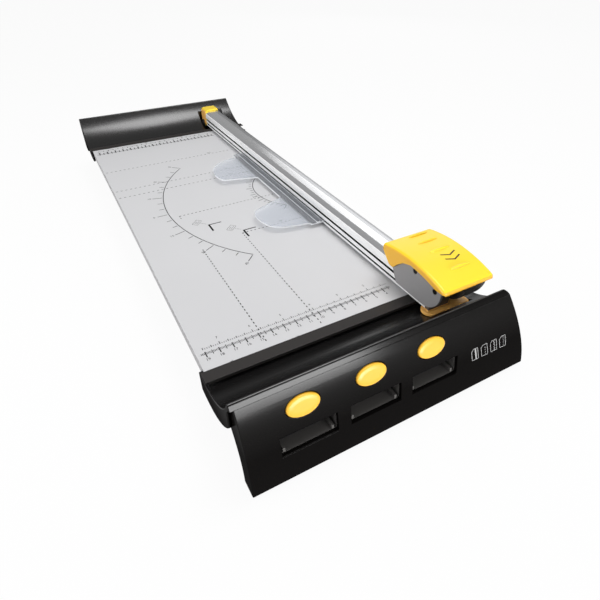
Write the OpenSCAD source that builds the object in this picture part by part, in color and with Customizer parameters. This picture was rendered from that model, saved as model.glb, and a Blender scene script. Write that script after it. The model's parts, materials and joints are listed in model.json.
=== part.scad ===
// Rotary paper trimmer: board between two end caps, rail with a press carriage, spare cutters in the front
// +X to the right, +Y to the rear, +Z up, millimetres
// The origin is the centre of the footprint on the table

/* [Board] */
// Visible length of the board between the two trims
board_len = 450; // [400:1:520]
// From the board's left edge to the cut line
cut_from_left = 196.6; // [190:0.2:230]
// From the cut line to the board's right edge
cut_from_right = 16; // [15.5:0.5:18]
// Thickness of the board's sheet
board_t = 2; // [1.6:0.1:2.4]
// Depth of the folded side flanges, sheet included
flange_h = 9.5; // [7:0.5:14]
// Height of the board's top above the table
board_top = 45; // [43:0.5:50]
// How far the board runs on under each trim
board_tuck = 6; // [4:0.5:6.5]
// Width of the cutting strip
strip_w = 12; // [9:0.5:16]
// Width of the groove in the cutting strip
strip_groove_w = 1.2; // [1.2:0.1:2]
// Depth of the groove in the cutting strip
strip_groove_d = 1; // [0.9:0.1:1.4]
// Width of the channel that backs the strip
channel_w = 26; // [22:1:34]
// Sheet thickness of the channel
channel_t = 1.5; // [1:0.1:2]
// Depth of the channel's legs
channel_leg = 6; // [3:0.5:10]

/* [End caps] */
// How far the caps reach past the board's left edge
end_wrap = 2.4; // [2:0.1:4]
// From the cut line to the caps' right end at table height
cap_right_reach = 39; // [38:0.5:48]
// Inward lean of the front cap's and front panel's right end, per height
front_lean = 0.35; // [0.3:0.01:0.36]
// Inward lean of the rear panel's right end, per height
rear_panel_lean = 0.3; // [0.2:0.01:0.32]
// Inward lean of the rear cap's right end, per height
rear_cap_lean = 0.15; // [0.1:0.01:0.3]
// Radius of the front cap's top right corner
cap_corner_r = 8; // [4:0.5:12]
// Wall thickness of the caps
cap_wall = 3; // [2:0.2:3.4]
// Radius of the concave trough
trough_r = 53.4; // [52.6:0.2:55]
// Depth of the trough's lowest line below the board's top
trough_low = 4.8; // [4.4:0.1:5.4]
// Distance of that line from the board's visible edge
trough_u = 2.5; // [2:0.1:3.5]
// Radius of the underside of the end plates
band_r = 56; // [54:0.5:60]
// Depth of that underside below the board's top, front cap
band_low = 22.3; // [18:0.1:26]
// Depth of that underside below the board's top, rear cap
rear_band_low = 12.5; // [10:0.1:16]
// How far the end plates reach out along the trough
band_reach = 49.5; // [44:0.5:50.5]
// How far the caps reach back under the board
sleeve = 7; // [5:0.5:12]
// Height of the ridge above the board's top
ridge_h = 28; // [27:0.2:29]
// Height of the bead along the ridge
bead_h = 3.6; // [2.5:0.1:4.5]
// Radius of the bowed outer face
face_r = 137.4; // [130:0.2:150]
// Furthest reach of that face from the board's visible edge
face_reach = 70.7; // [70:0.1:74]
// Height of the furthest point above the table
face_crown = 6.2; // [2:0.2:10]
// Wall thickness of the outer panels
fascia_t = 3; // [2.4:0.1:3.4]
// Radius of the hollow rear side of the legs
leg_r = 69.7; // [64:0.5:76]
// Reach of that rear side from the board's visible edge
leg_reach = 57.5; // [54:0.1:58.5]
// Height of the point of that reach above the table
leg_crown = 1.1; // [0:0.1:4]
// Distance of the rear leg from the rear panel's left end
rear_leg_inset = 12; // [8:0.5:12]
// Depth of that end's lower edge below the board's top
rear_panel_low = 17; // [15:0.5:20]
// Thickness of the flange that the feet are fixed to
leg_flange = 3; // [2:0.2:5]
// Width of the trims
trim_w = 10; // [9:0.5:12]
// How far the trims lap over the board
trim_lap = 1; // [0.5:0.1:1.4]
// How far the trims stand above the board
trim_h = 0.8; // [0.5:0.1:1.2]
// Wall of the tubs that hold the rail's ends
tub_wall = 2; // [1.5:0.1:2.5]
// Depth of the rear tub's floor below the board's top
tub_depth = 12; // [10:0.5:16]
// Where the rear tub ends, from the board's visible edge
tub_end = 45; // [44.8:0.1:46]
// Rear tub's reach to the right of the cut line
tub_right = 5; // [0:0.5:8]
// Radius of the rubber feet
foot_r = 5.5; // [4:0.1:6]
// Height of the rubber feet
foot_h = 1.5; // [1:0.1:3]
// Distance of the feet from the panels' ends
foot_inset = 16; // [12:0.5:40]

/* [Storage] */
// First slot's centre from the cut line
slot_first = -154.9; // [-160:0.1:-150]
// Distance between slots
slot_pitch = 49.2; // [46:0.1:52]
// Number of slots
slot_count = 3; // [3:1:3]
// Width of a slot
slot_w = 39.5; // [38:0.5:42]
// Height of a slot
slot_h = 13; // [12:0.2:14]
// Extra height of the panel's opening above a slot's bay
slot_head = 1.8; // [1:0.1:2.4]
// Slot's lower edge below the board's top
slot_low = 18.2; // [17.6:0.1:19]
// Wall of the storage tray
tray_wall = 1.6; // [1.2:0.1:2]
// Rear end of the bays from the board's visible edge
bay_end = 28; // [27:0.2:29]
// Width of the guide ribs in a bay
bay_rib_w = 1.7; // [1.2:0.1:2.4]
// Height of the guide ribs in a bay
bay_rib_h = 3; // [2:0.2:5]

/* [Buttons] */
// First button's centre from the cut line
button_first = -156.6; // [-160:0.1:-152]
// Distance between buttons
button_pitch = 48.3; // [46:0.1:52]
// Width of an oval button
button_w = 22.4; // [20:0.1:24]
// Height of an oval button
button_h = 13.9; // [13:0.1:15]
// Height of the buttons' centre above the board's top
button_z = 11.7; // [11:0.1:12.4]
// How far a button stands out of the panel
button_proud = 1.2; // [0.8:0.1:2]
// Width of the rim that keeps the button in
button_rim = 1.5; // [1:0.1:2.5]
// Thickness of that rim
button_rim_t = 1.6; // [1:0.1:2]
// Travel of a button
button_travel = 2.5; // [1.5:0.1:3]
// Radius of a button's stem
stem_r = 2.5; // [2:0.1:3]
// Room between that rim and the bowed panel
button_room = 1; // [0.8:0.05:1.2]
// Length of the spring behind a button
button_spring_len = 7.5; // [6.5:0.1:8]
// Thickness of the lugs behind the buttons
lug_t = 2; // [1.5:0.1:3]

/* [Rail] */
// Left face of the rail from the cut line
rail_left = -28; // [-30:0.1:-27]
// Width of the rail
rail_w = 20; // [18.5:0.1:20.5]
// Height of the rail's underside above the board
rail_low = 2.4; // [2.2:0.1:3]
// Height of the rail's top above the board
rail_top = 21.8; // [21.4:0.1:22]
// Radius of the rail's upper left corner
rail_corner_r = 5.4; // [3:0.2:6]
// Radius of the rail's upper right corner
rail_edge_r = 1.4; // [0.8:0.1:3]
// Wall of the rail's chamber
rail_wall = 4; // [3.2:0.1:5]
// Height of the guide grooves above the board
groove_z = 11.2; // [10.4:0.1:12]
// Width of the guide grooves
groove_h = 2; // [1.6:0.1:2.4]
// Depth of the guide grooves
groove_d = 2; // [1.4:0.1:2.4]
// Front end of the rail, outward from the board's visible edge
rail_front = 20; // [19:0.5:21]
// Rear end of the rail, outward from the board's visible edge
rail_rear = 21; // [19:0.5:22]
// Rear end of the yellow plug, outward from the board's visible edge
plug_rear = 41; // [40:0.1:44]
// Height of the yellow plug's top above the board
plug_top = 24; // [21:0.1:24.4]
// Length of the front plug
plug_front = 4; // [3:0.2:5]
// Length of the plugs' tongues in the rail
plug_tongue = 12; // [8:0.5:20]
// Radius of the rear plug's upper corner
plug_r = 3; // [2:0.2:4]
// Hinge pin's place, outward from the board's visible edge
pin_u = 33; // [32.5:0.1:33.5]
// Hinge pin's height above the board
pin_z = 3; // [2.5:0.1:4]
// Radius of the hinge pin
pin_r = 2.5; // [2:0.1:2.8]
// Radius of the lugs round the hinge pin
pin_lug_r = 5; // [4.4:0.1:5.5]
// Thickness of the pivot bracket's ears
ear_t = 2.4; // [1.8:0.1:2.8]
// Thickness of the pivot bracket's base
bracket_t = 2; // [1.5:0.1:3]
// Front foot's reach to the left of the cut line
foot_left = 31; // [30:0.2:32]
// Front foot's reach to the right of the cut line
foot_right = 10; // [8:0.2:11]
// Front foot's inner end, outward from the board's visible edge
foot_in = 15; // [14:0.1:16]
// Front foot's outer end, outward from the board's visible edge
foot_out = 29; // [27:0.1:30]
// Radius of the front foot's right corner
foot_corner_r = 2; // [1:0.2:3]
// Height of the front foot's underside above the board
foot_low = -0.8; // [-1.2:0.1:-0.4]
// Height of the front foot's top above the board
foot_high = 1.8; // [1.4:0.1:2]
// Room round the front foot in its pocket
foot_room = 1; // [0.8:0.1:1.2]

/* [Paper clamp] */
// Height of the clamp's hinge above the board
clamp_z = 5.6; // [5.4:0.05:5.8]
// Depth of the clamp's plate below its hinge
clamp_drop = 0.9; // [0.5:0.05:0.9]
// Radius of the clamp's hinge bead
bead_r = 0.9; // [0.7:0.05:1]
// Depth of the hinge bead inside the rail's left face
bead_in = 1.5; // [1.3:0.05:1.7]
// Thickness of the clamp's plate
clamp_t = 1.6; // [1.2:0.1:1.8]
// Thickness of the clamp's neck in the rail's groove
clamp_neck = 1; // [0.8:0.1:1.2]
// Width of the clamp's strip beside the rail
clamp_strip = 14; // [10:0.5:20]
// Reach of the wings from the rail
wing_reach = 57; // [45:0.5:70]
// Width of a wing along the rail
wing_w = 68; // [55:0.5:72]
// Rear end of the clamp from the board's centre
clamp_rear = 107.5; // [100:0.5:120]
// Front end of the clamp from the board's centre
clamp_front = -96.5; // [-104:0.5:-92]
// Inset of the rear wing from the clamp's rear end
wing_inset = 10; // [2:0.5:12]

/* [Carriage] */
// Centre of the carriage at rest, outward from the board's visible edge
car_u = 4; // [3:0.1:5]
// Thickness of the side plate
plate_t = 2.7; // [2.2:0.1:3.2]
// Height of the side plate's lower edge above the board
plate_low = 6.8; // [6.7:0.1:7]
// Radius of the side plate's front corner
plate_r = 16; // [12:0.2:18]
// Front end of the side plate from the carriage's centre
plate_front = -30.5; // [-31:0.1:-29]
// Rear end of the side plate's lower edge from the carriage's centre
plate_rear_low = 16.5; // [14:0.1:18]
// Rear end of the side plate's upper part from the carriage's centre
plate_rear = 24; // [22:0.1:26]
// Height of the blade housing's lower edge above the board
housing_low = 5.5; // [5:0.1:6.5]
// Right side of the blade housing from the cut line
housing_right = 12.5; // [11:0.1:12.8]
// Rear end of the blade housing from the carriage's centre
housing_rear = 31; // [30:0.1:32]
// Radius of the blade housing's front and rear lower corner
housing_r = 17.8; // [16:0.2:18.4]
// Inset of the housing's lower right edge
housing_taper = 5; // [2:0.2:6]
// Front end of the saddle over the rail from the carriage's centre
saddle_front = -27; // [-28:0.2:-25]
// Rear end of the saddle over the rail from the carriage's centre
saddle_rear = 20; // [18.5:0.2:22]
// Front end of the guide tongues from the carriage's centre
tongue_front = -10; // [-12:0.5:-8]
// Rear end of the guide tongues from the carriage's centre
tongue_rear = 14; // [12:0.5:16]
// Front glide shoe's front end from the carriage's centre
shoe_front = -13; // [-13.4:0.1:-12.6]
// Rear glide shoe's front end from the carriage's centre
shoe_rear = 1.5; // [1.2:0.1:1.9]
// Thickness of the glide shoes
shoe_t = 1.2; // [1:0.1:1.4]
// Length of a glide shoe
shoe_len = 8; // [6:0.5:9]
// Width of a glide shoe
shoe_w = 8; // [5:0.5:9]
// Upper screw's place from the carriage's centre
upper_screw_y = -1.9; // [-2.4:0.1:-1.4]
// Upper screw's height above the board
upper_screw_z = 28.8; // [28.4:0.1:29]
// Lower screw's place from the carriage's centre
lower_screw_y = -24.1; // [-24.4:0.1:-23.8]
// Lower screw's height above the board
lower_screw_z = 24.5; // [24.4:0.1:24.8]
// Radius of the side plate's screw heads
screw_head_r = 2; // [1.6:0.1:2.4]
// Radius of the side plate's screws
screw_r = 1.2; // [1:0.1:1.5]
// Length of the side plate's screws
screw_len = 9; // [6:0.5:12]

/* [Press cap] */
// Length of the press cap
press_len = 71; // [68:0.5:74]
// Left side of the press cap from the cut line
press_left = -33.5; // [-35:0.1:-33.3]
// Right side of the press cap from the cut line
press_right = 15; // [14.9:0.1:17]
// Height of the press cap's crest above the board
press_top = 38; // [37.8:0.1:39]
// Radius of the arched top
press_r = 126; // [120:0.2:140]
// Place of the arch's crest behind the carriage's centre
press_crest = 5.5; // [4:0.1:6]
// Wall of the press cap
press_wall = 2; // [1.6:0.1:2]
// Height of the press cap's side bands
press_band = 5.2; // [4.6:0.1:6]
// Height of the press cap's front and rear lower edges above the board
press_low = 28.7; // [27.5:0.1:29.4]
// Height of the rear side lobes' lower end above the board
lobe_low = 20; // [19:0.1:22]
// Length of the rear side lobes along the band
lobe_run = 34; // [30:0.5:36]
// Travel of the press cap
press_travel = 2.5; // [2.3:0.1:2.7]
// Radius of the press cap's guide posts
post_r = 2.5; // [2:0.1:3]
// Radius of the spring pockets round the posts
pocket_r = 4.6; // [4.2:0.1:5]
// Height of the spring pockets' floor above the board
pocket_z = 26; // [25:0.1:26.5]
// Front post from the carriage's centre
post_front = -20; // [-21:0.1:-19]
// Rear post from the carriage's centre
post_rear = 14; // [13.5:0.1:14.5]
// Slack of the springs round the posts
press_slack = 1.6; // [1.4:0.05:1.8]
// Width of the block that bears on the cutter holder
presser_w = 8; // [6:0.5:10]
// Length of that block
presser_len = 16; // [12:0.5:20]

/* [Cutters] */
// Radius of the cutting wheels
blade_r = 14; // [13.8:0.05:14.1]
// Thickness of the straight blade
blade_t = 0.6; // [0.4:0.1:0.6]
// Blade's place behind the carriage's centre
blade_y = 12; // [11.5:0.1:12]
// Height of the blade's lowest point above the board
blade_lift = 2; // [1.9:0.05:2.2]
// Length of a cutter holder
holder_len = 32; // [30:0.2:32.6]
// Thickness of a cutter holder
holder_t = 10.5; // [9:0.1:11]
// Height of a cutter holder above its axle
holder_up = 15; // [14.6:0.1:15]
// Depth of a cutter holder below its axle
holder_down = 9; // [7:0.1:9.5]
// Width of the blade slot in a holder
blade_slot = 1.8; // [1.8:0.1:2.4]
// Radius of the axles
axle_r = 2; // [1.5:0.1:2.5]
// Number of teeth on the perforating wheel
perf_teeth = 24; // [12:2:36]
// Number of waves on the wave wheel
wave_count = 12; // [8:1:20]
// Height of the waves
wave_h = 0.5; // [0.2:0.1:0.8]

/* [Fits] */
// Gap between pieces that move past each other
gap = 0.3; // [0.25:0.01:0.35]
// Radial clearance of pins, posts and axles that run in a bore
run = 0.06; // [0.03:0.01:0.09]
// Gap at seams between fixed pieces
seam = 0.2; // [0.15:0.01:0.25]
// Radius of the springs' wire
wire_r = 0.35; // [0.25:0.05:0.4]
// Number of curls of a spring
curls = 5; // [4:1:6]
// Radius of the screws that hold the caps
cap_screw_r = 1.5; // [1.2:0.1:1.8]
// Number of those screws at each end
cap_screw_count = 4; // [3:1:6]
// From the board's left edge to the first of those screws
cap_screw_left = 20; // [16:0.5:24]
// From the last of those screws to the cut line
cap_screw_right = 25; // [22:0.5:30]

/* [Hidden] */
$fn = 64;
smooth_fn = 360;
far = 700;
front = -1;
rear = 1;

body_w = cut_from_left + end_wrap + cap_right_reach;
cap_left = -body_w / 2;
cap_right = body_w / 2;
cut_x = cap_left + end_wrap + cut_from_left;
board_left = cut_x - cut_from_left;
board_right = cut_x + cut_from_right;
end_wall = end_wrap - seam;
ridge_z = board_top + ridge_h;
edge_y = board_len / 2;

trim_out = trim_w - trim_lap;
trough_c = [trough_u, trough_r - trough_low];
face_c = [face_reach - face_r, face_crown - board_top];
leg_c = [leg_reach - leg_r, leg_crown - board_top];
leg_low = foot_h - board_top;
fascia_top = ridge_h - bead_h - seam;
foot_mid = (leg_reach + face_reach) / 2;

slot_x = [for (i = [0 : slot_count - 1]) cut_x + slot_first + i * slot_pitch];
slot_top = slot_h - slot_low;
button_x = [for (i = [0 : slot_count - 1]) cut_x + button_first + i * button_pitch];
button_angle = asin((button_z - face_c[1]) / face_r);
button_back = fascia_t + gap + button_rim_t + button_room;
lug_front = button_back + button_spring_len;

rail_x0 = cut_x + rail_left;
rail_x1 = rail_x0 + rail_w;
rail_mid = (rail_x0 + rail_x1) / 2;
tub_x0 = cut_x - foot_left - foot_room;

car_y = -edge_y - car_u;
press_c = [press_crest, press_top - press_r];
inner_r = press_r - press_wall - press_travel - 2 * gap;
plate_x0 = rail_x0 - gap - plate_t;
saddle_low = rail_top + shoe_t;
blade_z = blade_lift + blade_r;
// Edge of a lobe: distance from the press cap's rear end, height above the lobe's lower end
lobe_points = [[0, 10.7], [10, 0.8], [12, 0], [15.5, 0], [20, 5.2], [26, 10]];
screw_places = [[upper_screw_y, upper_screw_z], [lower_screw_y, lower_screw_z]];
stored_z = gap + holder_t / 2 - slot_low;
stored_u = bay_end + gap + blade_r;

yellow = "#f6c62e";
black = "#1c1b1b";

// Extrudes a (Y, Z) outline along X
module along_x(x0, x1) {
    translate([x0, 0, 0]) rotate([90, 0, 90]) linear_extrude(x1 - x0) children();
}

// Extrudes an (X, Z) outline along Y
module along_y(y0, y1) {
    translate([0, y1, 0]) rotate([90, 0, 0]) linear_extrude(y1 - y0) children();
}

// Places an outline in (distance outward from the board's edge, height above the board) at one end
module at_end(end) {
    translate([end * edge_y, board_top]) {
        if (end == front) mirror([1, 0]) children();
        else children();
    }
}

module window(u0, u1, z0, z1) {
    translate([u0, z0]) square([u1 - u0, z1 - z0]);
}

module trough_disc(grow = 0) {
    translate(trough_c) circle(r = trough_r + grow, $fn = smooth_fn);
}

module band_disc(end, grow = 0) {
    low = end == front ? band_low : rear_band_low;
    translate([trough_u, band_r - low]) circle(r = band_r + grow, $fn = smooth_fn);
}

module face_disc(inset = 0) {
    translate(face_c) circle(r = face_r - inset, $fn = smooth_fn);
}

module leg_disc() {
    translate(leg_c) circle(r = leg_r, $fn = smooth_fn);
}

function cap_lean(end) = end == front ? front_lean : rear_cap_lean;
function panel_lean(end) = end == front ? front_lean : rear_panel_lean;
function ridge_right(end) = cap_right - panel_lean(end) * (ridge_z - foot_h);

// Everything to the right of an end plane that leans in up to the ridge's corner, less an inset
module beyond_right(end, lean, inset = 0) {
    translate([ridge_right(end), 0, ridge_z]) rotate([0, -atan(lean), 0])
        translate([-inset, -far / 2, -far / 2]) cube([far / 2, far, far]);
}

// Slab of one end wall's thickness inside a leaning end plane
module right_slab(end, lean, inset = 0) {
    difference() {
        beyond_right(end, lean, inset + end_wall);
        beyond_right(end, lean, inset);
    }
}

// What the rounded top right corner of the front end takes away
module corner_cut() {
    lean = front_lean;
    slant = sqrt(1 + lean * lean);
    cz = ridge_z - cap_corner_r;
    cx = ridge_right(front) + lean * cap_corner_r - cap_corner_r * slant;
    along_y(-far / 2, far / 2) difference() {
        window(cx, cap_right, cz + cap_corner_r * lean / slant, ridge_z + 1);
        translate([cx, cz]) circle(r = cap_corner_r);
    }
}

// Outline of the trough's sheet, the shelf under the board and the ridge bead
module cap_sheet() {
    difference() {
        union() {
            intersection() {
                trough_disc(cap_wall);
                window(trim_out - cap_wall, far, -far, ridge_h);
                face_disc();
            }
            window(-sleeve, trim_out, -board_t - cap_wall, -board_t);
            intersection() {
                face_disc();
                window(trough_u, far, fascia_top + seam, ridge_h);
            }
        }
        trough_disc();
        difference() {
            window(trough_u, far, -far, fascia_top + seam);
            face_disc(fascia_t + seam);
        }
    }
}

module band(end) {
    difference() {
        intersection() {
            band_disc(end);
            face_disc();
            window(-sleeve, band_reach, -far, ridge_h);
        }
        trough_disc();
        window(-far, trim_out, 0, far);
    }
}

// Tub that closes a pocket in the trough from below
module tub(end, x1, u0, u1, z0, z1) {
    difference() {
        along_x(tub_x0 - tub_wall, x1 + tub_wall) at_end(end) difference() {
            window(u0, u1, z0, z1);
            trough_disc();
        }
        beyond_right(end, cap_lean(end), end_wall);
    }
}

module cap_shell(end) {
    difference() {
        union() {
            along_x(cap_left, cap_right) at_end(end) difference() {
                cap_sheet();
                window(-sleeve - 1, trim_out - cap_wall, -far, -board_t - cap_wall);
            }
            along_x(cap_left, cap_left + end_wall) at_end(end) band(end);
            intersection() {
                along_x(cut_x, cap_right) at_end(end) band(end);
                right_slab(end, cap_lean(end));
            }
        }
        beyond_right(end, cap_lean(end));
        if (end == front) corner_cut();
        for (p = cap_screw_places(end)) translate(p) cylinder(r = cap_screw_r + seam, h = far, center = true);
    }
}

// Outline of the outer panel and of the leg that it stands on
module fascia_skin() {
    intersection() {
        difference() {
            face_disc();
            face_disc(fascia_t);
        }
        window(0, far, leg_low, fascia_top);
    }
}

module leg() {
    difference() {
        intersection() {
            face_disc();
            window(0, far, leg_low, fascia_top);
        }
        leg_disc();
        trough_disc(cap_wall + seam);
    }
}

module fascia_shell(end) {
    left = end == front ? board_left : cap_left;
    difference() {
        union() {
            along_x(left, cap_right) at_end(end) {
                fascia_skin();
                intersection() {
                    leg();
                    window(0, far, leg_low, leg_low + leg_flange);
                }
            }
            along_x(left, left + end_wall) at_end(end) leg();
            intersection() {
                along_x(cut_x, cap_right) at_end(end) leg();
                right_slab(end, panel_lean(end), end_wrap);
            }
        }
        beyond_right(end, panel_lean(end));
        if (end == front) corner_cut();
    }
}

function cap_screw_places(end) = [
    for (i = [0 : cap_screw_count - 1])
        [board_left + cap_screw_left
            + i * (cut_from_left - cap_screw_left - cap_screw_right) / (cap_screw_count - 1),
         end * (edge_y + board_tuck / 2 - sleeve / 2), board_top]
];

// Puts a piece on the bowed front face, its own Z along the button's outward axis
module on_face(x) {
    translate([x, -edge_y - face_c[0], board_top + face_c[1]])
        rotate([90 - button_angle, 0, 0]) translate([0, 0, face_r]) children();
}

module oval(w, h) {
    polygon([for (a = [0 : 6 : 354]) [w / 2 * cos(a), h / 2 * sin(a)]]);
}

function spring_points(radius, length) = [
    for (i = [0 : 8 * curls])
        [radius * cos(45 * i), radius * sin(45 * i), wire_r + i * (length - 2 * wire_r) / (8 * curls)]
];

// Least distance between a spring's wire and itself, a full curl or more apart
function spring_gap(points) = min([
    for (i = [0 : len(points) - 1]) for (j = [i + 6 : 1 : len(points) - 1]) norm(points[i] - points[j])
]) - 2 * wire_r;

// One unbroken tube along a helix, its rings standing in planes through the axis
module spring(radius, length) {
    points = spring_points(radius, length);
    echo(spring_gap = spring_gap(points));
    last = len(points) - 1;
    vertices = [
        for (i = [0 : last]) for (k = [0 : 5])
            points[i] + wire_r * [cos(60 * k) * cos(45 * i), cos(60 * k) * sin(45 * i), sin(60 * k)]
    ];
    sides = [
        for (i = [0 : last - 1]) for (k = [0 : 5]) for (half = [0, 1])
            let (a = 6 * i + k, b = 6 * i + (k + 1) % 6)
            half == 0 ? [a, b, b + 6] : [a, b + 6, a + 6]
    ];
    starts = [for (k = [1 : 4]) [0, k + 1, k]];
    ends = [for (k = [1 : 4]) [6 * last, 6 * last + k, 6 * last + k + 1]];
    polyhedron(points = vertices, faces = concat(sides, starts, ends), convexity = 4);
}

module base_board() {
    color("#d9d9dc") difference() {
        union() {
            translate([board_left, -edge_y - board_tuck, board_top - board_t])
                cube([board_right - board_left, board_len + 2 * board_tuck, board_t]);
            for (x = [board_left, board_right - board_t])
                translate([x, -edge_y + sleeve + gap, board_top - flange_h])
                    cube([board_t, board_len - 2 * (sleeve + gap), flange_h]);
        }
        translate([cut_x - strip_w / 2 - seam, -edge_y - board_tuck / 2, board_top - 2 * board_t])
            cube([strip_w + 2 * seam, board_len + board_tuck, 3 * board_t]);
        for (end = [front, rear]) for (p = cap_screw_places(end))
            translate(p) cylinder(r = cap_screw_r + seam, h = 4 * board_t, center = true);
    }
}

module cutting_strip() {
    color("#2a2a2c") along_y(-edge_y - board_tuck / 2 + seam, edge_y + board_tuck / 2 - seam)
        translate([cut_x, board_top]) difference() {
            window(-strip_w / 2, strip_w / 2, -board_t, 0);
            window(-strip_groove_w / 2, strip_groove_w / 2, -strip_groove_d, 1);
        }
}

module strip_channel() {
    color("#a8abae") along_y(-edge_y + sleeve + gap, edge_y - sleeve - gap)
        translate([cut_x, board_top - board_t]) difference() {
            window(-channel_w / 2, channel_w / 2, -channel_t - channel_leg, 0);
            window(-channel_w / 2 + channel_t, channel_w / 2 - channel_t, -far, -channel_t);
        }
}

module trim(end) {
    color("#55524f") difference() {
        along_x(cap_left, cap_right) at_end(end) {
            window(-trim_lap, trim_out, 0, trim_h);
            window(board_tuck + seam, trim_out, -board_t, trim_h);
        }
        beyond_right(end, cap_lean(end));
        // The end plates close this strip's lower part at both ends
        along_x(cap_left, cap_left + end_wrap) at_end(end) window(-far, far, -far, 0);
        intersection() {
            along_x(cut_x, cap_right) at_end(end) window(-far, far, -far, 0);
            beyond_right(end, cap_lean(end), end_wrap);
        }
    }
}

module front_trim() {
    trim(front);
}

module rear_trim() {
    trim(rear);
}

module front_cap() {
    pocket_floor = foot_low - gap;
    x1 = cut_x + foot_right + foot_room;
    color(black) difference() {
        union() {
            cap_shell(front);
            tub(front, x1, rail_front, foot_out + foot_room + tub_wall, pocket_floor - tub_wall, ridge_h / 2);
        }
        along_x(tub_x0, x1) at_end(front)
            window(trim_out + foot_room, foot_out + foot_room, pocket_floor, far);
    }
}

module rear_cap() {
    x1 = cut_x + tub_right;
    color(black) difference() {
        union() {
            cap_shell(rear);
            tub(rear, x1, trim_out, tub_end + tub_wall, -tub_depth - tub_wall, ridge_h - bead_h - 1);
        }
        along_x(tub_x0, x1) at_end(rear) window(trim_out + tub_wall, tub_end, -tub_depth, far);
    }
}

module front_fascia() {
    color(black) difference() {
        fascia_shell(front);
        for (x = slot_x) along_x(x - slot_w / 2, x + slot_w / 2) at_end(front)
            window(bay_end, far, -slot_low, slot_top + slot_head);
        for (x = button_x) on_face(x) translate([0, 0, -2 * fascia_t]) linear_extrude(3 * fascia_t)
            oval(button_w + 2 * gap, button_h + 2 * gap);
    }
}

module rear_fascia() {
    leg_left = cap_left + rear_leg_inset;
    color(black) difference() {
        union() {
            difference() {
                fascia_shell(rear);
                along_x(cap_left - 1, leg_left) at_end(rear) window(0, far, -far, -rear_panel_low);
            }
            // Floor of the left end and side wall of the leg, which starts further in
            along_x(cap_left, leg_left + end_wall) at_end(rear) intersection() {
                leg();
                window(0, far, -rear_panel_low, -rear_panel_low + end_wall);
            }
            along_x(leg_left, leg_left + end_wall) at_end(rear) intersection() {
                leg();
                window(0, far, -far, -rear_panel_low);
            }
        }
        // Room for the rear cap's end plates, which stand in the same planes here
        along_x(cap_left, cap_right) at_end(rear) intersection() {
            band_disc(rear, seam);
            window(0, band_reach + seam, -far, far);
        }
    }
}

module storage_tray() {
    x0 = slot_x[0] - slot_w / 2 - tray_wall;
    x1 = slot_x[slot_count - 1] + slot_w / 2 + tray_wall;
    lug_w = button_h;
    color("#232222") {
        difference() {
            union() {
                along_x(x0, x1) at_end(front) intersection() {
                    window(bay_end - tray_wall, far, -slot_low - tray_wall, slot_top + tray_wall);
                    face_disc(fascia_t + seam);
                }
                for (x = button_x) on_face(x) translate([-lug_w / 2, -far / 2, -lug_front - lug_t])
                    cube([lug_w, far / 2 + button_h / 3, lug_t]);
            }
            for (x = slot_x) along_x(x - slot_w / 2, x + slot_w / 2) at_end(front)
                window(bay_end, far, -slot_low, slot_top);
            for (x = button_x) on_face(x) translate([0, 0, -lug_front - 2 * lug_t])
                cylinder(r = stem_r + gap, h = 4 * lug_t);
            along_x(x0 - 1, x1 + 1) at_end(front) window(0, far, -far, -slot_low - tray_wall);
        }
        for (x = slot_x) for (side = [-1, 1])
            translate([x + side * (holder_len / 2 + gap + bay_rib_w / 2) - bay_rib_w / 2, 0, 0])
                along_x(0, bay_rib_w) at_end(front) intersection() {
                    window(bay_end, far, -slot_low, -slot_low + bay_rib_h);
                    face_disc(fascia_t + seam);
                }
    }
}

module rubber_feet() {
    left = board_left + foot_inset;
    right = cap_right - foot_inset;
    color("#2b2b2b") for (x = [left, right]) for (end = [front, rear])
        translate([x, end * (edge_y + foot_mid), 0]) cylinder(r = foot_r, h = foot_h);
}

module cap_screws() {
    head_h = 1.2 * cap_screw_r;
    low = board_t + cap_wall;
    color("#b9bcc0") for (end = [front, rear]) for (p = cap_screw_places(end)) translate(p) {
        translate([0, 0, -low]) cylinder(r = cap_screw_r, h = low - seam);
        translate([0, 0, -low - head_h]) cylinder(r = 2 * cap_screw_r, h = head_h);
    }
}

// Outline of the lug round the hinge pin with its web down to the bracket's base
module ear() {
    difference() {
        union() {
            translate([pin_u, pin_z]) circle(r = pin_lug_r);
            window(pin_u - pin_lug_r, pin_u + pin_lug_r, -tub_depth, pin_z);
        }
        translate([pin_u, pin_z]) circle(r = pin_r + run / 2);
    }
}

module pivot_bracket() {
    left = rail_x0 - gap - ear_t;
    right = rail_x1 + gap;
    color("#3a3a3c") {
        for (x = [left, right]) along_x(x, x + ear_t) at_end(rear) ear();
        along_x(left, right + ear_t) at_end(rear)
            window(pin_u - pin_lug_r, pin_u + pin_lug_r, -tub_depth, -tub_depth + bracket_t);
    }
}

module rail_pin() {
    color("#c9ccd0") along_x(rail_x0 - gap - ear_t, rail_x1 + gap + ear_t) at_end(rear)
        translate([pin_u, pin_z]) circle(r = pin_r);
}

// Cross-section of the rail without its grooves, X from its left face, Z above the board
module rail_outline(top = rail_top) {
    r = rail_corner_r;
    e = rail_edge_r;
    window(0, rail_w, rail_low, top - r);
    window(r, rail_w, rail_low, top - e);
    window(r, rail_w - e, rail_low, top);
    translate([r, top - r]) circle(r = r);
    translate([rail_w - e, top - e]) circle(r = e);
}

module rail_chamber(inset = 0) {
    window(rail_wall + inset, rail_w - rail_wall - inset, rail_low + 0.75 * rail_wall + inset,
        rail_top - 0.85 * rail_wall - inset);
}

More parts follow.
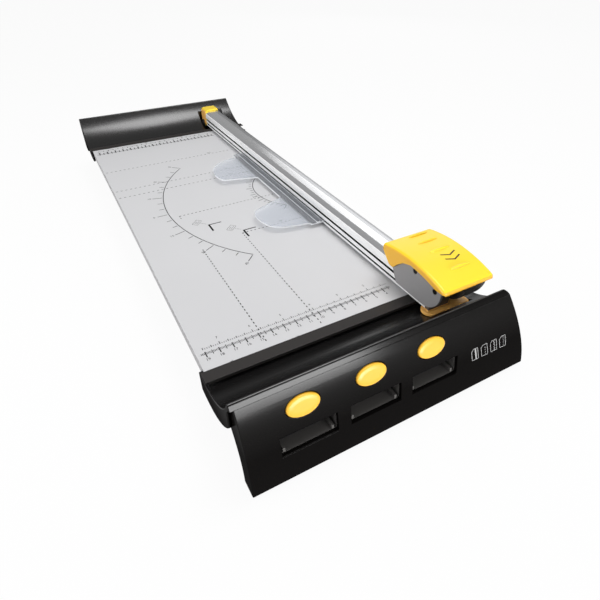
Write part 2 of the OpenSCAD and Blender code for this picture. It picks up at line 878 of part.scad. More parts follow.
module rail() {
    half_groove = groove_h / 2;
    mouth = clamp_neck / 2 + gap;
    color("#cfd1d6") along_y(-edge_y - rail_front, edge_y + rail_rear) translate([rail_x0, board_top])
        difference() {
            rail_outline();
            rail_chamber();
            for (x = [-1, rail_w - groove_d])
                window(x, x + groove_d + 1, groove_z - half_groove, groove_z + half_groove);
            translate([bead_in, clamp_z]) circle(r = bead_r + run);
            window(-1, bead_in, clamp_z - mouth, clamp_z + mouth);
        }
}

module rail_rear_cap() {
    color(yellow) {
        difference() {
            union() {
                intersection() {
                    along_y(edge_y + rail_rear, edge_y + plug_rear)
                        translate([rail_x0, board_top]) rail_outline(plug_top);
                    along_x(rail_x0, rail_x1) at_end(rear) {
                        window(rail_rear, plug_rear - plug_r, -far, far);
                        window(rail_rear, plug_rear, -far, plug_top - plug_r);
                        translate([plug_rear - plug_r, plug_top - plug_r]) circle(r = plug_r);
                    }
                }
                along_x(rail_x0, rail_x1) at_end(rear) translate([pin_u, pin_z]) circle(r = pin_lug_r);
            }
            along_x(rail_x0 - 1, rail_x1 + 1) at_end(rear) translate([pin_u, pin_z]) circle(r = pin_r + run);
        }
        along_y(edge_y + rail_rear - plug_tongue, edge_y + rail_rear + 1)
            translate([rail_x0, board_top]) rail_chamber(seam);
    }
}

module rail_front_plug() {
    color("#3d3b3c") {
        along_y(-edge_y - rail_front - plug_front, -edge_y - rail_front) translate([rail_x0, board_top])
            rail_outline();
        along_y(-edge_y - rail_front - 1, -edge_y - rail_front + plug_tongue)
            translate([rail_x0, board_top]) rail_chamber(seam);
    }
}

module rail_front_block() {
    color("#e0a02c") {
        along_y(-edge_y - rail_front - plug_front, -edge_y - rail_front) translate([rail_x0, board_top])
            window(0, rail_w, foot_low, rail_low);
        translate([cut_x, -edge_y, board_top + foot_low]) linear_extrude(foot_high - foot_low) {
            r = foot_corner_r;
            half = (foot_out - foot_in) / 2;
            window(-foot_left + half, foot_right, -foot_out + r, -foot_in);
            window(-foot_left + half, foot_right - r, -foot_out, -foot_in);
            translate([foot_right - r, -foot_out + r]) circle(r = r);
            translate([-foot_left + half, -foot_out + half]) circle(r = half);
        }
    }
}

// Points of a smooth bend from a to c, drawn towards b
function bend(a, b, c) = [
    for (t = [0 : 0.125 : 1]) (1 - t) * (1 - t) * a + 2 * t * (1 - t) * b + t * t * c
];

// Wings in plan: X from the rail's left face, Y from the wing's front end, as shares of reach and width
function rear_wing(x, y) = concat(
    [[1 - clamp_strip, 0], [1 - clamp_strip, y]],
    bend([-0.38 * x, 0.99 * y], [-0.95 * x, 0.87 * y], [-x, 0.38 * y]),
    bend([-x, 0.36 * y], [-x, 0.12 * y], [-0.87 * x, 0.1 * y])
);

function front_wing(x, y) = concat(
    [[1 - clamp_strip, 0.04 * y], [1 - clamp_strip, y]],
    bend([-0.7 * x, 0.81 * y], [-x, 0.74 * y], [-x, 0.5 * y]),
    bend([-x, 0.49 * y], [-0.99 * x, 0.13 * y], [-0.66 * x, 0.08 * y])
);

module paper_clamp() {
    hinge_x = rail_x0 + bead_in;
    color("#dfe8f0", 0.5) {
        translate([hinge_x, clamp_rear, board_top + clamp_z]) rotate([90, 0, 0])
            cylinder(r = bead_r, h = clamp_rear - clamp_front);
        along_y(clamp_front, clamp_rear) translate([rail_x0, board_top + clamp_z])
            window(-gap - clamp_neck, bead_in, -clamp_neck / 2, clamp_neck / 2);
        translate([rail_x0, 0, board_top + clamp_z - clamp_drop - clamp_t / 2]) linear_extrude(clamp_t) {
            translate([-clamp_strip, clamp_front]) square([clamp_strip - gap, clamp_rear - clamp_front]);
            translate([0, clamp_front]) polygon(front_wing(wing_reach, wing_w));
            translate([0, clamp_rear - wing_w - wing_inset]) polygon(rear_wing(wing_reach, wing_w));
        }
    }
}

// Places an outline in (Y from the carriage's centre, height above the board)
module at_car() {
    translate([car_y, board_top]) children();
}

// Everything under the press cap's arch, less a depth
module arch_disc(depth = 0) {
    translate(press_c) circle(r = press_r - depth, $fn = smooth_fn);
}

// Height of that arch above the board at a place along the carriage
function arch_height(y, depth) = press_c[1] + sqrt(pow(press_r - depth, 2) - pow(y - press_crest, 2));

// Side outline of the carriage with its rounded front lower corner
module side_outline(low, front_end, rear_end, corner) {
    intersection() {
        translate(press_c) circle(r = inner_r, $fn = smooth_fn);
        union() {
            window(front_end + corner, rear_end, low, far);
            window(front_end, rear_end, low + corner, far);
            translate([front_end + corner, low + corner]) circle(r = corner);
        }
    }
}

module carriage_plate() {
    rise = lobe_low - plate_low;
    color("#8a888b") difference() {
        union() {
            along_x(plate_x0, rail_x0 - gap) at_car() difference() {
                side_outline(plate_low, plate_front, plate_rear, plate_r);
                polygon([[plate_rear_low, plate_low - 1], [plate_rear + 1, plate_low - 1],
                         [plate_rear + 1, plate_low + rise], [plate_rear, plate_low + rise],
                         [plate_rear_low, plate_low]]);
            }
            along_x(rail_x0 - 2 * gap, rail_x0 + groove_d - gap) at_car() guide_tongue();
        }
        along_x(plate_x0 - 1, rail_x0) at_car()
            for (p = screw_places) translate(p) circle(r = screw_r + seam);
        along_x(plate_x0 - 1, plate_x0 + plate_t / 2 + seam) at_car()
            for (p = screw_places) translate(p) circle(r = screw_head_r + seam);
    }
}

// Tongue that runs in a guide groove
module guide_tongue() {
    half = groove_h / 2 - gap;
    window(tongue_front, tongue_rear, groove_z - half, groove_z + half);
}

module carriage_body() {
    inner_x = rail_x1 + gap;
    cavity_x = holder_t / 2 + gap;
    cavity_y = holder_len / 2 + gap;
    color("#3d3b3c") difference() {
        union() {
            along_x(rail_x0 - gap, inner_x + 1) at_car() intersection() {
                side_outline(plate_low, plate_front, plate_rear, plate_r);
                window(saddle_front, saddle_rear, saddle_low, far);
            }
            intersection() {
                along_x(inner_x, cut_x + housing_right) at_car()
                    side_outline(housing_low, plate_front - 1, housing_rear, housing_r);
                along_y(-far, far) translate([cut_x, board_top]) polygon([
                    [inner_x - cut_x, housing_low - 1], [housing_right - housing_taper, housing_low - 1],
                    [housing_right - housing_taper, housing_low], [housing_right, rail_top],
                    [housing_right, 2 * press_top], [inner_x - cut_x, 2 * press_top]]);
            }
            along_x(rail_x1 - groove_d + gap, inner_x + 1) at_car() guide_tongue();
        }
        along_x(cut_x - cavity_x, cut_x + cavity_x) at_car()
            window(blade_y - cavity_y, blade_y + cavity_y, 0, far);
        for (y = [post_front, post_rear]) translate([rail_mid, car_y + y, board_top]) {
            cylinder(r = post_r + run, h = far);
            translate([0, 0, pocket_z]) cylinder(r = pocket_r, h = far);
        }
        along_x(rail_x0 - 1, plate_x0 + plate_t / 2 + screw_len) at_car()
            for (p = screw_places) translate(p) circle(r = screw_r + seam);
    }
}

module carriage_screws() {
    head_x = plate_x0 + plate_t / 2 - 0.8 * screw_r;
    color("#9fa2a6") for (p = screw_places) {
        along_x(head_x, head_x + screw_len) at_car() translate(p) circle(r = screw_r);
        along_x(head_x, plate_x0 + plate_t / 2 + seam) at_car() translate(p) circle(r = screw_head_r);
    }
}

module glide_shoes() {
    color("#f2f2ee") for (y = [shoe_front, shoe_rear])
        translate([rail_mid - shoe_w / 2, car_y + y, board_top + rail_top + run])
            cube([shoe_w, shoe_len, shoe_t - run]);
}

module press_springs() {
    color("#c4c7cb") for (y = [post_front, post_rear]) {
        ceiling = arch_height(y, press_wall);
        translate([rail_mid, car_y + y, board_top + pocket_z + seam])
            spring((post_r + pocket_r) / 2, ceiling - pocket_z - press_slack);
    }
}

// Outline of a side wall of the press cap: a band under the arch and a lobe at the rear
module press_side() {
    half = press_len / 2;
    lobe_edge = [for (p = lobe_points) [half - p[0], lobe_low + p[1]]];
    crown = [[half - lobe_run, press_top - press_band], [half - lobe_run, press_top], [half, press_top]];
    intersection() {
        arch_disc();
        union() {
            difference() {
                window(-half, half, press_low, press_top);
                arch_disc(press_band);
            }
            polygon(concat(lobe_edge, crown));
        }
    }
}

module press_cap() {
    half = press_len / 2;
    x0 = cut_x + press_left;
    x1 = cut_x + press_right;
    holder_top = blade_z + holder_up;
    color(yellow) {
        along_x(x0, x1) at_car() difference() {
            intersection() {
                arch_disc();
                window(-half, half, press_low, press_top);
            }
            intersection() {
                arch_disc(press_wall);
                window(-half + press_wall, half - press_wall, 0, far);
            }
        }
        for (x = [x0, x1 - press_wall]) along_x(x, x + press_wall) at_car() press_side();
        for (y = [post_front, post_rear]) translate([rail_mid, car_y + y, 0])
            along_z_under_arch(y, board_top + rail_top + press_travel + 2 * gap) circle(r = post_r);
        along_x(cut_x - presser_w / 2, cut_x + presser_w / 2) at_car() intersection() {
            window(blade_y - presser_len / 2, blade_y + presser_len / 2, holder_top, far);
            arch_disc(press_wall / 2);
        }
    }
}

// Column from a height up into the press cap's wall
module along_z_under_arch(y, low) {
    top = board_top + arch_height(y, press_wall / 2);
    translate([0, 0, low]) linear_extrude(top - low) children();
}

// Cutter pieces stand round the axle at the origin, blade axis along X, edge down
module holder() {
    color("#2c2c30") difference() {
        translate([-holder_t / 2, -holder_len / 2, -holder_down])
            cube([holder_t, holder_len, holder_up + holder_down]);
        along_x(-blade_slot / 2, blade_slot / 2) circle(r = blade_r + gap);
        along_x(-blade_slot / 2, blade_slot / 2)
            window(-blade_r - gap, blade_r + gap, -2 * holder_down, 0);
        along_x(-holder_t, holder_t) circle(r = axle_r + run / 2);
    }
}

module axle() {
    color("#d0d3d6") along_x(-holder_t / 2, holder_t / 2) circle(r = axle_r);
}

module wheel_blank(t) {
    along_x(-t / 2, t / 2) difference() {
        children();
        circle(r = axle_r + run);
    }
}

module installed() {
    translate([cut_x, car_y + blade_y, board_top + blade_z]) children();
}

module stored(i) {
    translate([slot_x[i], -edge_y - stored_u, board_top + stored_z])
        rotate([0, -90, 0]) rotate([90, 0, 0]) children();
}

module cutter_holder() {
    installed() holder();
}

module cutter_axle() {
    installed() axle();
}

module straight_blade() {
    bevel = blade_t * 2.5;
    color("#e3e6e9") installed() rotate([0, 90, 0]) rotate_extrude() polygon([
        [axle_r + run, -blade_t / 2], [blade_r - bevel, -blade_t / 2], [blade_r, 0],
        [blade_r - bevel, blade_t / 2], [axle_r + run, blade_t / 2]]);
}

module perforating_holder() {
    stored(0) holder();
}

module perforating_axle() {
    stored(0) axle();
}

module perforating_wheel() {
    tooth = 360 / perf_teeth;
    color("#e3e6e9") stored(0) wheel_blank(blade_t) difference() {
        circle(r = blade_r);
        for (i = [0 : perf_teeth - 1]) rotate(i * tooth) translate([blade_r, 0])
            square([2 * wave_h + 1, PI * blade_r / perf_teeth], center = true);
    }
}

module wave_holder() {
    stored(1) holder();
}

module wave_axle() {
    stored(1) axle();
}

module wave_wheel() {
    color("#e3e6e9") stored(1) wheel_blank(blade_t)
        polygon([for (a = [0 : 3 : 357]) (blade_r - wave_h * (1 + sin(wave_count * a))) * [cos(a), sin(a)]]);
}

module creasing_holder() {
    stored(2) holder();
}

module creasing_axle() {
    stored(2) axle();
}

module creasing_wheel() {
    color("#b5b8bb") stored(2) wheel_blank(2 * blade_t) circle(r = blade_r - wave_h);
}

module eject_button(i) {
    color(yellow) on_face(button_x[i]) {
        translate([0, 0, -button_back]) linear_extrude(button_back + button_proud) oval(button_w, button_h);
        translate([0, 0, -button_back]) linear_extrude(button_rim_t)
            oval(button_w + 2 * button_rim, button_h + 2 * button_rim);
        translate([0, 0, -lug_front - lug_t])
            cylinder(r = stem_r, h = lug_front + lug_t - button_back + button_rim_t);
    }
}

module eject_button_1() {
    eject_button(0);
}

module eject_button_2() {
    eject_button(1);
}

module eject_button_3() {
    eject_button(2);
}

module button_spring(i) {
    color("#c4c7cb") on_face(button_x[i]) translate([0, 0, -lug_front + seam])
        spring(stem_r + gap + wire_r + 2 * seam, button_spring_len - 2 * seam);
}

module button_spring_1() {
    button_spring(0);
}

module button_spring_2() {
    button_spring(1);
}

module button_spring_3() {
    button_spring(2);
}

base_board();
cutting_strip();
strip_channel();
front_trim();
rear_trim();
front_cap();
front_fascia();
rear_cap();
rear_fascia();
storage_tray();
rubber_feet();
cap_screws();
pivot_bracket();
rail_pin();
rail();
rail_rear_cap();
rail_front_plug();
rail_front_block();
paper_clamp();
carriage_plate();
carriage_body();
carriage_screws();
glide_shoes();
press_springs();
press_cap();
cutter_holder();
cutter_axle();
straight_blade();
eject_button_1();
eject_button_2();
eject_button_3();
button_spring_1();
button_spring_2();
button_spring_3();
perforating_holder();
perforating_axle();
perforating_wheel();
wave_holder();
wave_axle();
wave_wheel();
creasing_holder();
creasing_axle();
creasing_wheel();
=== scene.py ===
"""Looks of the rotary paper trimmer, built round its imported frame."""

import json
import logging
import math
from dataclasses import dataclass, field, replace
from enum import Enum
from typing import Callable, Optional, Sequence

import bmesh
import bpy
from bmesh.types import BMEdge, BMesh, BMFace, BMVert
from bpy.types import Material, Mesh, Node, NodeSocket, NodeTree, Object
from mathutils import Matrix, Vector


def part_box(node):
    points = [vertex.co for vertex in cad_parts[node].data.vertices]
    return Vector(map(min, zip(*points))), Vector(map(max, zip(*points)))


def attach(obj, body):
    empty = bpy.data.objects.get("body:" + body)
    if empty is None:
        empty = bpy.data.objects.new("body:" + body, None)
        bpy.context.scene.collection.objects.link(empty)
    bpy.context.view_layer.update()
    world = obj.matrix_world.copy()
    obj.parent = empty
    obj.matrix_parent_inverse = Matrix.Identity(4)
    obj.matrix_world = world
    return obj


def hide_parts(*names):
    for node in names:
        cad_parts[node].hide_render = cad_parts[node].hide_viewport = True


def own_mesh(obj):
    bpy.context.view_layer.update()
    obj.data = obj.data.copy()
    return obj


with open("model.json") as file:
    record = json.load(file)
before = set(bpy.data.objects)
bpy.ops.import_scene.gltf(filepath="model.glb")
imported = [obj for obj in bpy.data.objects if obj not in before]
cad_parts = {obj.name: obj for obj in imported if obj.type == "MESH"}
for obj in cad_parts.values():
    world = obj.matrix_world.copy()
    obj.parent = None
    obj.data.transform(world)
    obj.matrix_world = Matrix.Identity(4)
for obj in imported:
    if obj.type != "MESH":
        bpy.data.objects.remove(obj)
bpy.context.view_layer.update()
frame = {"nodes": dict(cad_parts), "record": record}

log = logging.getLogger("trimmer")
MM = 0.001
TRIM_LAP = 1.0
MERGE_GAP = 0.003
CUT_GAP = 0.001
FLAT_ANGLE = 0.3
CORNER_ANGLE = 32.0
CREASE_ANGLE = 40.0
SIDE_LOOK = 0.85
PRINT_LIFT = 0.05
PRINT_CUTS = 4
UP = (0, 0, 1)
WHITE = (1, 1, 1, 1)
Color = tuple[float, float, float]
EdgeTest = Callable[[BMEdge], bool]
FaceTest = Callable[[BMFace], bool]


def box_mm(node: str) -> tuple[Vector, Vector]:
    """Gives a CAD node's lowest and highest corner in millimetres."""
    low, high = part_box(node)
    return Vector(low) / MM, Vector(high) / MM


@dataclass(frozen=True)
class Layout:
    """Places shared by the sub-assemblies, in millimetres, read off the frame."""

    board_top: float = box_mm("base_board")[1].z
    edge_y: float = TRIM_LAP - box_mm("front_trim")[1].y
    cut_x: float = sum(corner.x for corner in box_mm("straight_blade")) / 2
    rail_left: float = box_mm("rail")[0].x
    rail_right: float = box_mm("rail")[1].x
    carriage_y: float = sum(corner.y for corner in box_mm("press_cap")) / 2


PLACE = Layout()


class GroupName(Enum):
    """Shader effects that more than one finish uses."""

    GRAIN = "moulded grain"
    STREAKS = "drawn streaks"
    WEAR = "edge wear"
    DUST = "settled dust"
    FADE = "gloss fading downwards"


class Cut(Enum):
    """Kinds of cut, in the order of their signs on the front panel."""

    STRAIGHT = "straight"
    PERFORATED = "perforated"
    WAVY = "wavy"
    CREASED = "creased"


class Graph:
    """A node tree with short ways to add, set and link its nodes."""

    def __init__(self, tree: NodeTree) -> None:
        """Takes the tree over and empties it."""
        self.tree = tree
        tree.nodes.clear()

    def add(self, kind: str, values: Optional[dict] = None, **attributes: object) -> Node:
        """Adds one node.

        Args:
            kind: Blender's name of the node type.
            values: Input socket names or numbers and the values they get.
            attributes: Settings of the node itself.

        Returns:
            The new node.
        """
        node = self.tree.nodes.new(kind)
        for key, value in attributes.items():
            setattr(node, key, value)
        for key, value in (values or {}).items():
            node.inputs[key].default_value = value
        return node

    def link(self, source: NodeSocket, target: NodeSocket) -> None:
        """Joins an output to an input."""
        self.tree.links.new(source, target)

    def math(self, operation: str, first: object, second: object) -> NodeSocket:
        """Adds a math node fed by sockets or plain numbers.

        Args:
            operation: Blender's name of the operation.
            first: Socket or number for the first input.
            second: Socket or number for the second input.

        Returns:
            The node's result.
        """
        node = self.add("ShaderNodeMath", operation=operation)
        for place, value in enumerate((first, second)):
            if isinstance(value, NodeSocket):
                self.link(value, node.inputs[place])
            else:
                node.inputs[place].default_value = value
        return node.outputs[0]

    def spread(self, source: NodeSocket, band: tuple[float, float]) -> NodeSocket:
        """Stretches a band of values over 0 to 1.

        Args:
            source: Socket with the value.
            band: Value that becomes 0 and value that becomes 1.

        Returns:
            The clamped result.
        """
        node = self.add("ShaderNodeMapRange", {"From Min": band[0], "From Max": band[1]})
        self.link(source, node.inputs["Value"])
        return node.outputs["Result"]

    def noise(self, values: dict) -> Node:
        """Adds a noise texture that lies still on its piece.

        Args:
            values: Its input socket names and their values.

        Returns:
            The noise node.
        """
        node = self.add("ShaderNodeTexNoise", values)
        self.link(self.add("ShaderNodeTexCoord").outputs["Object"], node.inputs["Vector"])
        return node

    def height(self, source: NodeSocket) -> NodeSocket:
        """Takes the Z value out of a vector.

        Args:
            source: Socket with the vector.

        Returns:
            Its Z value.
        """
        node = self.add("ShaderNodeSeparateXYZ")
        self.link(source, node.inputs[0])
        return node.outputs["Z"]

    def tinted(self, color: NodeSocket, factor: NodeSocket) -> NodeSocket:
        """Multiplies a colour by a value.

        Args:
            color: Socket with the colour.
            factor: Socket with the value.

        Returns:
            The product as a colour.
        """
        node = self.add("ShaderNodeVectorMath", operation="SCALE")
        self.link(color, node.inputs[0])
        self.link(factor, node.inputs["Scale"])
        return node.outputs["Vector"]

    def mixed(self, factor: NodeSocket, first: NodeSocket, second: NodeSocket) -> NodeSocket:
        """Blends two colours.

        Args:
            factor: Socket with the share of the second colour.
            first: Socket with the first colour.
            second: Socket with the second colour.

        Returns:
            The blended colour.
        """
        node = self.add("ShaderNodeMix", data_type="RGBA")
        self.link(factor, node.inputs[0])
        self.link(first, node.inputs[6])
        self.link(second, node.inputs[7])
        return node.outputs[2]


class ShaderGroups:
    """The shared effects, each built once as a node group."""

    SURFACE = ("Color", "Roughness", "Height")
    BASE = ("Color", "Tint", "Roughness", "Spread")
    SCALES = {GroupName.GRAIN: ("Cloud Scale", "Grain Scale"), GroupName.STREAKS: ("Across", "Along")}
    NOISE_MIDDLE = 0.5
    WORN_EDGES = (0.52, 0.62)
    WORN_SPOTS = (0.4, 0.65)
    LOOKING_UP = (0.5, 1.0)
    DUSTY_SPOTS = (0.45, 0.8)

    def __init__(self) -> None:
        """Starts with no groups built."""
        self.built: dict[GroupName, NodeTree] = {}

    def get(self, name: GroupName) -> NodeTree:
        """Gives a group, building it at first use.

        Args:
            name: Which effect.

        Returns:
            The node group.
        """
        if name not in self.built:
            makers = {
                GroupName.GRAIN: self._grain,
                GroupName.STREAKS: self._streaks,
                GroupName.WEAR: self._wear,
                GroupName.DUST: self._dust,
                GroupName.FADE: self._fade,
            }
            self.built[name] = makers[name]()
        return self.built[name]

    @staticmethod
    def _shell(name: GroupName, inputs: Sequence[str], outputs: Sequence[str]) -> tuple:
        """Makes an empty group; a socket named after a colour is a colour.

        Args:
            name: Which effect.
            inputs: Names of the inputs.
            outputs: Names of the outputs.

        Returns:
            The tree, its graph, its input node and its output node.
        """
        tree = bpy.data.node_groups.new(name.value, "ShaderNodeTree")
        for direction, names in (("INPUT", inputs), ("OUTPUT", outputs)):
            for socket in names:
                kind = "NodeSocketColor" if socket.endswith("Color") else "NodeSocketFloat"
                tree.interface.new_socket(socket, in_out=direction, socket_type=kind)
        graph = Graph(tree)
        return tree, graph, graph.add("NodeGroupInput"), graph.add("NodeGroupOutput")

    def _vary(self, graph: Graph, source: Node, result: Node, pattern: NodeSocket) -> None:
        """Lets a pattern vary a group's colour and gloss.

        Args:
            graph: The group's graph.
            source: Its input node.
            result: Its output node.
            pattern: Socket with the pattern.
        """
        swing = graph.math("SUBTRACT", pattern, self.NOISE_MIDDLE)
        factor = graph.math("ADD", graph.math("MULTIPLY", swing, source.outputs["Tint"]), 1.0)
        gloss = graph.math("MULTIPLY", swing, source.outputs["Spread"])
        graph.link(graph.tinted(source.outputs["Color"], factor), result.inputs["Color"])
        graph.link(graph.math("ADD", gloss, source.outputs["Roughness"]), result.inputs["Roughness"])

    def _grain(self) -> NodeTree:
        """Builds the cloudy tint and gloss of a moulding, with a fine spark-eroded grain.

        Returns:
            The node group.
        """
        scales = self.SCALES[GroupName.GRAIN]
        tree, graph, source, result = self._shell(GroupName.GRAIN, self.BASE + scales, self.SURFACE)
        cloud = graph.noise({"Detail": 4.0, "Roughness": 0.6})
        grain = graph.noise({"Detail": 2.0, "Roughness": 0.5})
        for noise, scale in zip((cloud, grain), scales):
            graph.link(source.outputs[scale], noise.inputs["Scale"])
        self._vary(graph, source, result, cloud.outputs[0])
        graph.link(grain.outputs[0], result.inputs["Height"])
        return tree

    def _streaks(self) -> NodeTree:
        """Builds the long fine lines that drawing and brushing leave along a piece.

        Returns:
            The node group.
        """
        across, along = self.SCALES[GroupName.STREAKS]
        tree, graph, source, result = self._shell(
            GroupName.STREAKS, (*self.BASE, across, along), self.SURFACE
        )
        stretch = graph.add("ShaderNodeCombineXYZ")
        for axis, scale in enumerate((across, along, across)):
            graph.link(source.outputs[scale], stretch.inputs[axis])
        drawn = graph.add("ShaderNodeVectorMath", operation="MULTIPLY")
        graph.link(graph.add("ShaderNodeTexCoord").outputs["Object"], drawn.inputs[0])
        graph.link(stretch.outputs[0], drawn.inputs[1])
        lines = graph.add("ShaderNodeTexNoise", {"Scale": 1.0, "Detail": 5.0, "Roughness": 0.65})
        graph.link(drawn.outputs["Vector"], lines.inputs["Vector"])
        self._vary(graph, source, result, lines.outputs[0])
        graph.link(lines.outputs[0], result.inputs["Height"])
        return tree

    def _cover(self, name: GroupName, second: str, band: tuple, spots: dict, spot_band: tuple) -> NodeTree:
        """Builds an effect that lays a second colour over the first in spots.

        Args:
            name: Which effect.
            second: Name of the second colour's input.
            band: Band of the surface value that the second colour lies on.
            spots: Settings of the noise that breaks it up.
            spot_band: Band of that noise.

        Returns:
            The node group.
        """
        tree, graph, source, result = self._shell(name, ("Color", second, "Amount"), ("Color",))
        surface = graph.add("ShaderNodeNewGeometry").outputs
        wears = name is GroupName.WEAR
        value = surface["Pointiness"] if wears else graph.height(surface["Normal"])
        broken = graph.spread(graph.noise(spots).outputs[0], spot_band)
        mask = graph.math("MULTIPLY", graph.spread(value, band), broken)
        share = graph.math("MULTIPLY", mask, source.outputs["Amount"])
        mixed = graph.mixed(share, source.outputs["Color"], source.outputs[second])
        graph.link(mixed, result.inputs["Color"])
        return tree

    def _wear(self) -> NodeTree:
        """Builds edges rubbed lighter by handling, broken up by noise."""
        spots = {"Scale": 140.0, "Detail": 3.0}
        return self._cover(GroupName.WEAR, "Worn Color", self.WORN_EDGES, spots, self.WORN_SPOTS)

    def _dust(self) -> NodeTree:
        """Builds paper dust that settles thinly on faces that look up."""
        spots = {"Scale": 45.0, "Detail": 6.0, "Roughness": 0.7}
        return self._cover(GroupName.DUST, "Dust Color", self.LOOKING_UP, spots, self.DUSTY_SPOTS)

    def _fade(self) -> NodeTree:
        """Builds gloss that fades towards the table, painted shade that makes the lower part darker.

        Returns:
            The node group.
        """
        inputs = ("Weight", "Low", "High", "Least")
        tree, graph, source, result = self._shell(GroupName.FADE, inputs, ("Weight",))
        band = graph.add("ShaderNodeMapRange", {"To Max": 1.0})
        graph.link(graph.height(graph.add("ShaderNodeTexCoord").outputs["Object"]), band.inputs["Value"])
        for socket, value in (("From Min", "Low"), ("From Max", "High"), ("To Min", "Least")):
            graph.link(source.outputs[value], band.inputs[socket])
        weight = graph.math("MULTIPLY", band.outputs["Result"], source.outputs["Weight"])
        graph.link(weight, result.inputs["Weight"])
        return tree


GROUPS = ShaderGroups()


def opaque(color: Color) -> tuple[float, float, float, float]:
    """Gives a colour its full alpha."""
    return (*color, 1.0)


@dataclass(frozen=True)
class Finish:
    """A surface: colour, gloss, fine texture, wear and dust; fade is two heights and the least share."""

    name: str
    slot: str
    color: Color
    roughness: float
    effect: GroupName = GroupName.GRAIN
    tint: float = 0.12
    spread: float = 0.1
    cloud_scale: float = 22.0
    grain_scale: float = 1500.0
    depth: float = 0.004
    specular: float = 0.4
    metallic: float = 0.0
    coat: float = 0.0
    coat_ior: float = 1.5
    fade: Optional[tuple[float, float, float]] = None
    alpha: float = 1.0
    worn: Color = (0.5, 0.5, 0.5)
    wear: float = 0.0
    dusty: Color = (0.72, 0.71, 0.69)
    dust: float = 0.0

    def material(self) -> Material:
        """Gives this finish's material, building it at first use."""
        found = bpy.data.materials.get(self.name)
        return found or self._build()

    def _build(self) -> Material:
        """Builds the node tree.

        Returns:
            The new material.
        """
        material = bpy.data.materials.new(self.name)
        material.use_nodes = True
        graph = Graph(material.node_tree)
        values = {
            "Specular IOR Level": self.specular,
            "Metallic": self.metallic,
            "Coat Weight": self.coat,
            "Coat Roughness": self.roughness,
            "Coat IOR": self.coat_ior,
            "Alpha": self.alpha,
        }
        shader = graph.add("ShaderNodeBsdfPrincipled", values)
        surface = graph.add("ShaderNodeOutputMaterial")
        graph.link(shader.outputs[0], surface.inputs["Surface"])
        base = self._effect(graph)
        color = base.outputs["Color"]
        if self.wear > 0:
            rubbed = {"Worn Color": opaque(self.worn), "Amount": self.wear}
            color = self._over(graph, GroupName.WEAR, color, rubbed)
        if self.dust > 0:
            pale = {"Dust Color": opaque(self.dusty), "Amount": self.dust}
            color = self._over(graph, GroupName.DUST, color, pale)
        if self.fade:
            low, high, least = self.fade
            heights = {"Weight": self.coat, "Low": low * MM, "High": high * MM, "Least": least}
            gloss = graph.add("ShaderNodeGroup", heights, node_tree=GROUPS.get(GroupName.FADE))
            graph.link(gloss.outputs["Weight"], shader.inputs["Coat Weight"])
        bump = graph.add("ShaderNodeBump", {"Strength": 1.0, "Distance": self.depth * MM})
        graph.link(base.outputs["Height"], bump.inputs["Height"])
        graph.link(color, shader.inputs["Base Color"])
        graph.link(base.outputs["Roughness"], shader.inputs["Roughness"])
        graph.link(bump.outputs["Normal"], shader.inputs["Normal"])
        return material

    def _effect(self, graph: Graph) -> Node:
        """Places the finish's main effect.

        Args:
            graph: The material's graph.

        Returns:
            The group node.
        """
        coarse, fine = ShaderGroups.SCALES[self.effect]
        values = {
            "Color": opaque(self.color),
            "Tint": self.tint,
            "Roughness": self.roughness,
            "Spread": self.spread,
            coarse: self.cloud_scale,
            fine: self.grain_scale,
        }
        return graph.add("ShaderNodeGroup", values, node_tree=GROUPS.get(self.effect))

    @staticmethod
    def _over(graph: Graph, name: GroupName, color: NodeSocket, values: dict) -> NodeSocket:
        """Lays one more effect over a colour.

        Args:
            graph: The material's graph.
            name: Which effect.
            color: The colour underneath.
            values: The effect's own values.

        Returns:
            The colour with the effect.
        """
        node = graph.add("ShaderNodeGroup", values, node_tree=GROUPS.get(name))
        graph.link(color, node.inputs["Color"])
        return node.outputs["Color"]


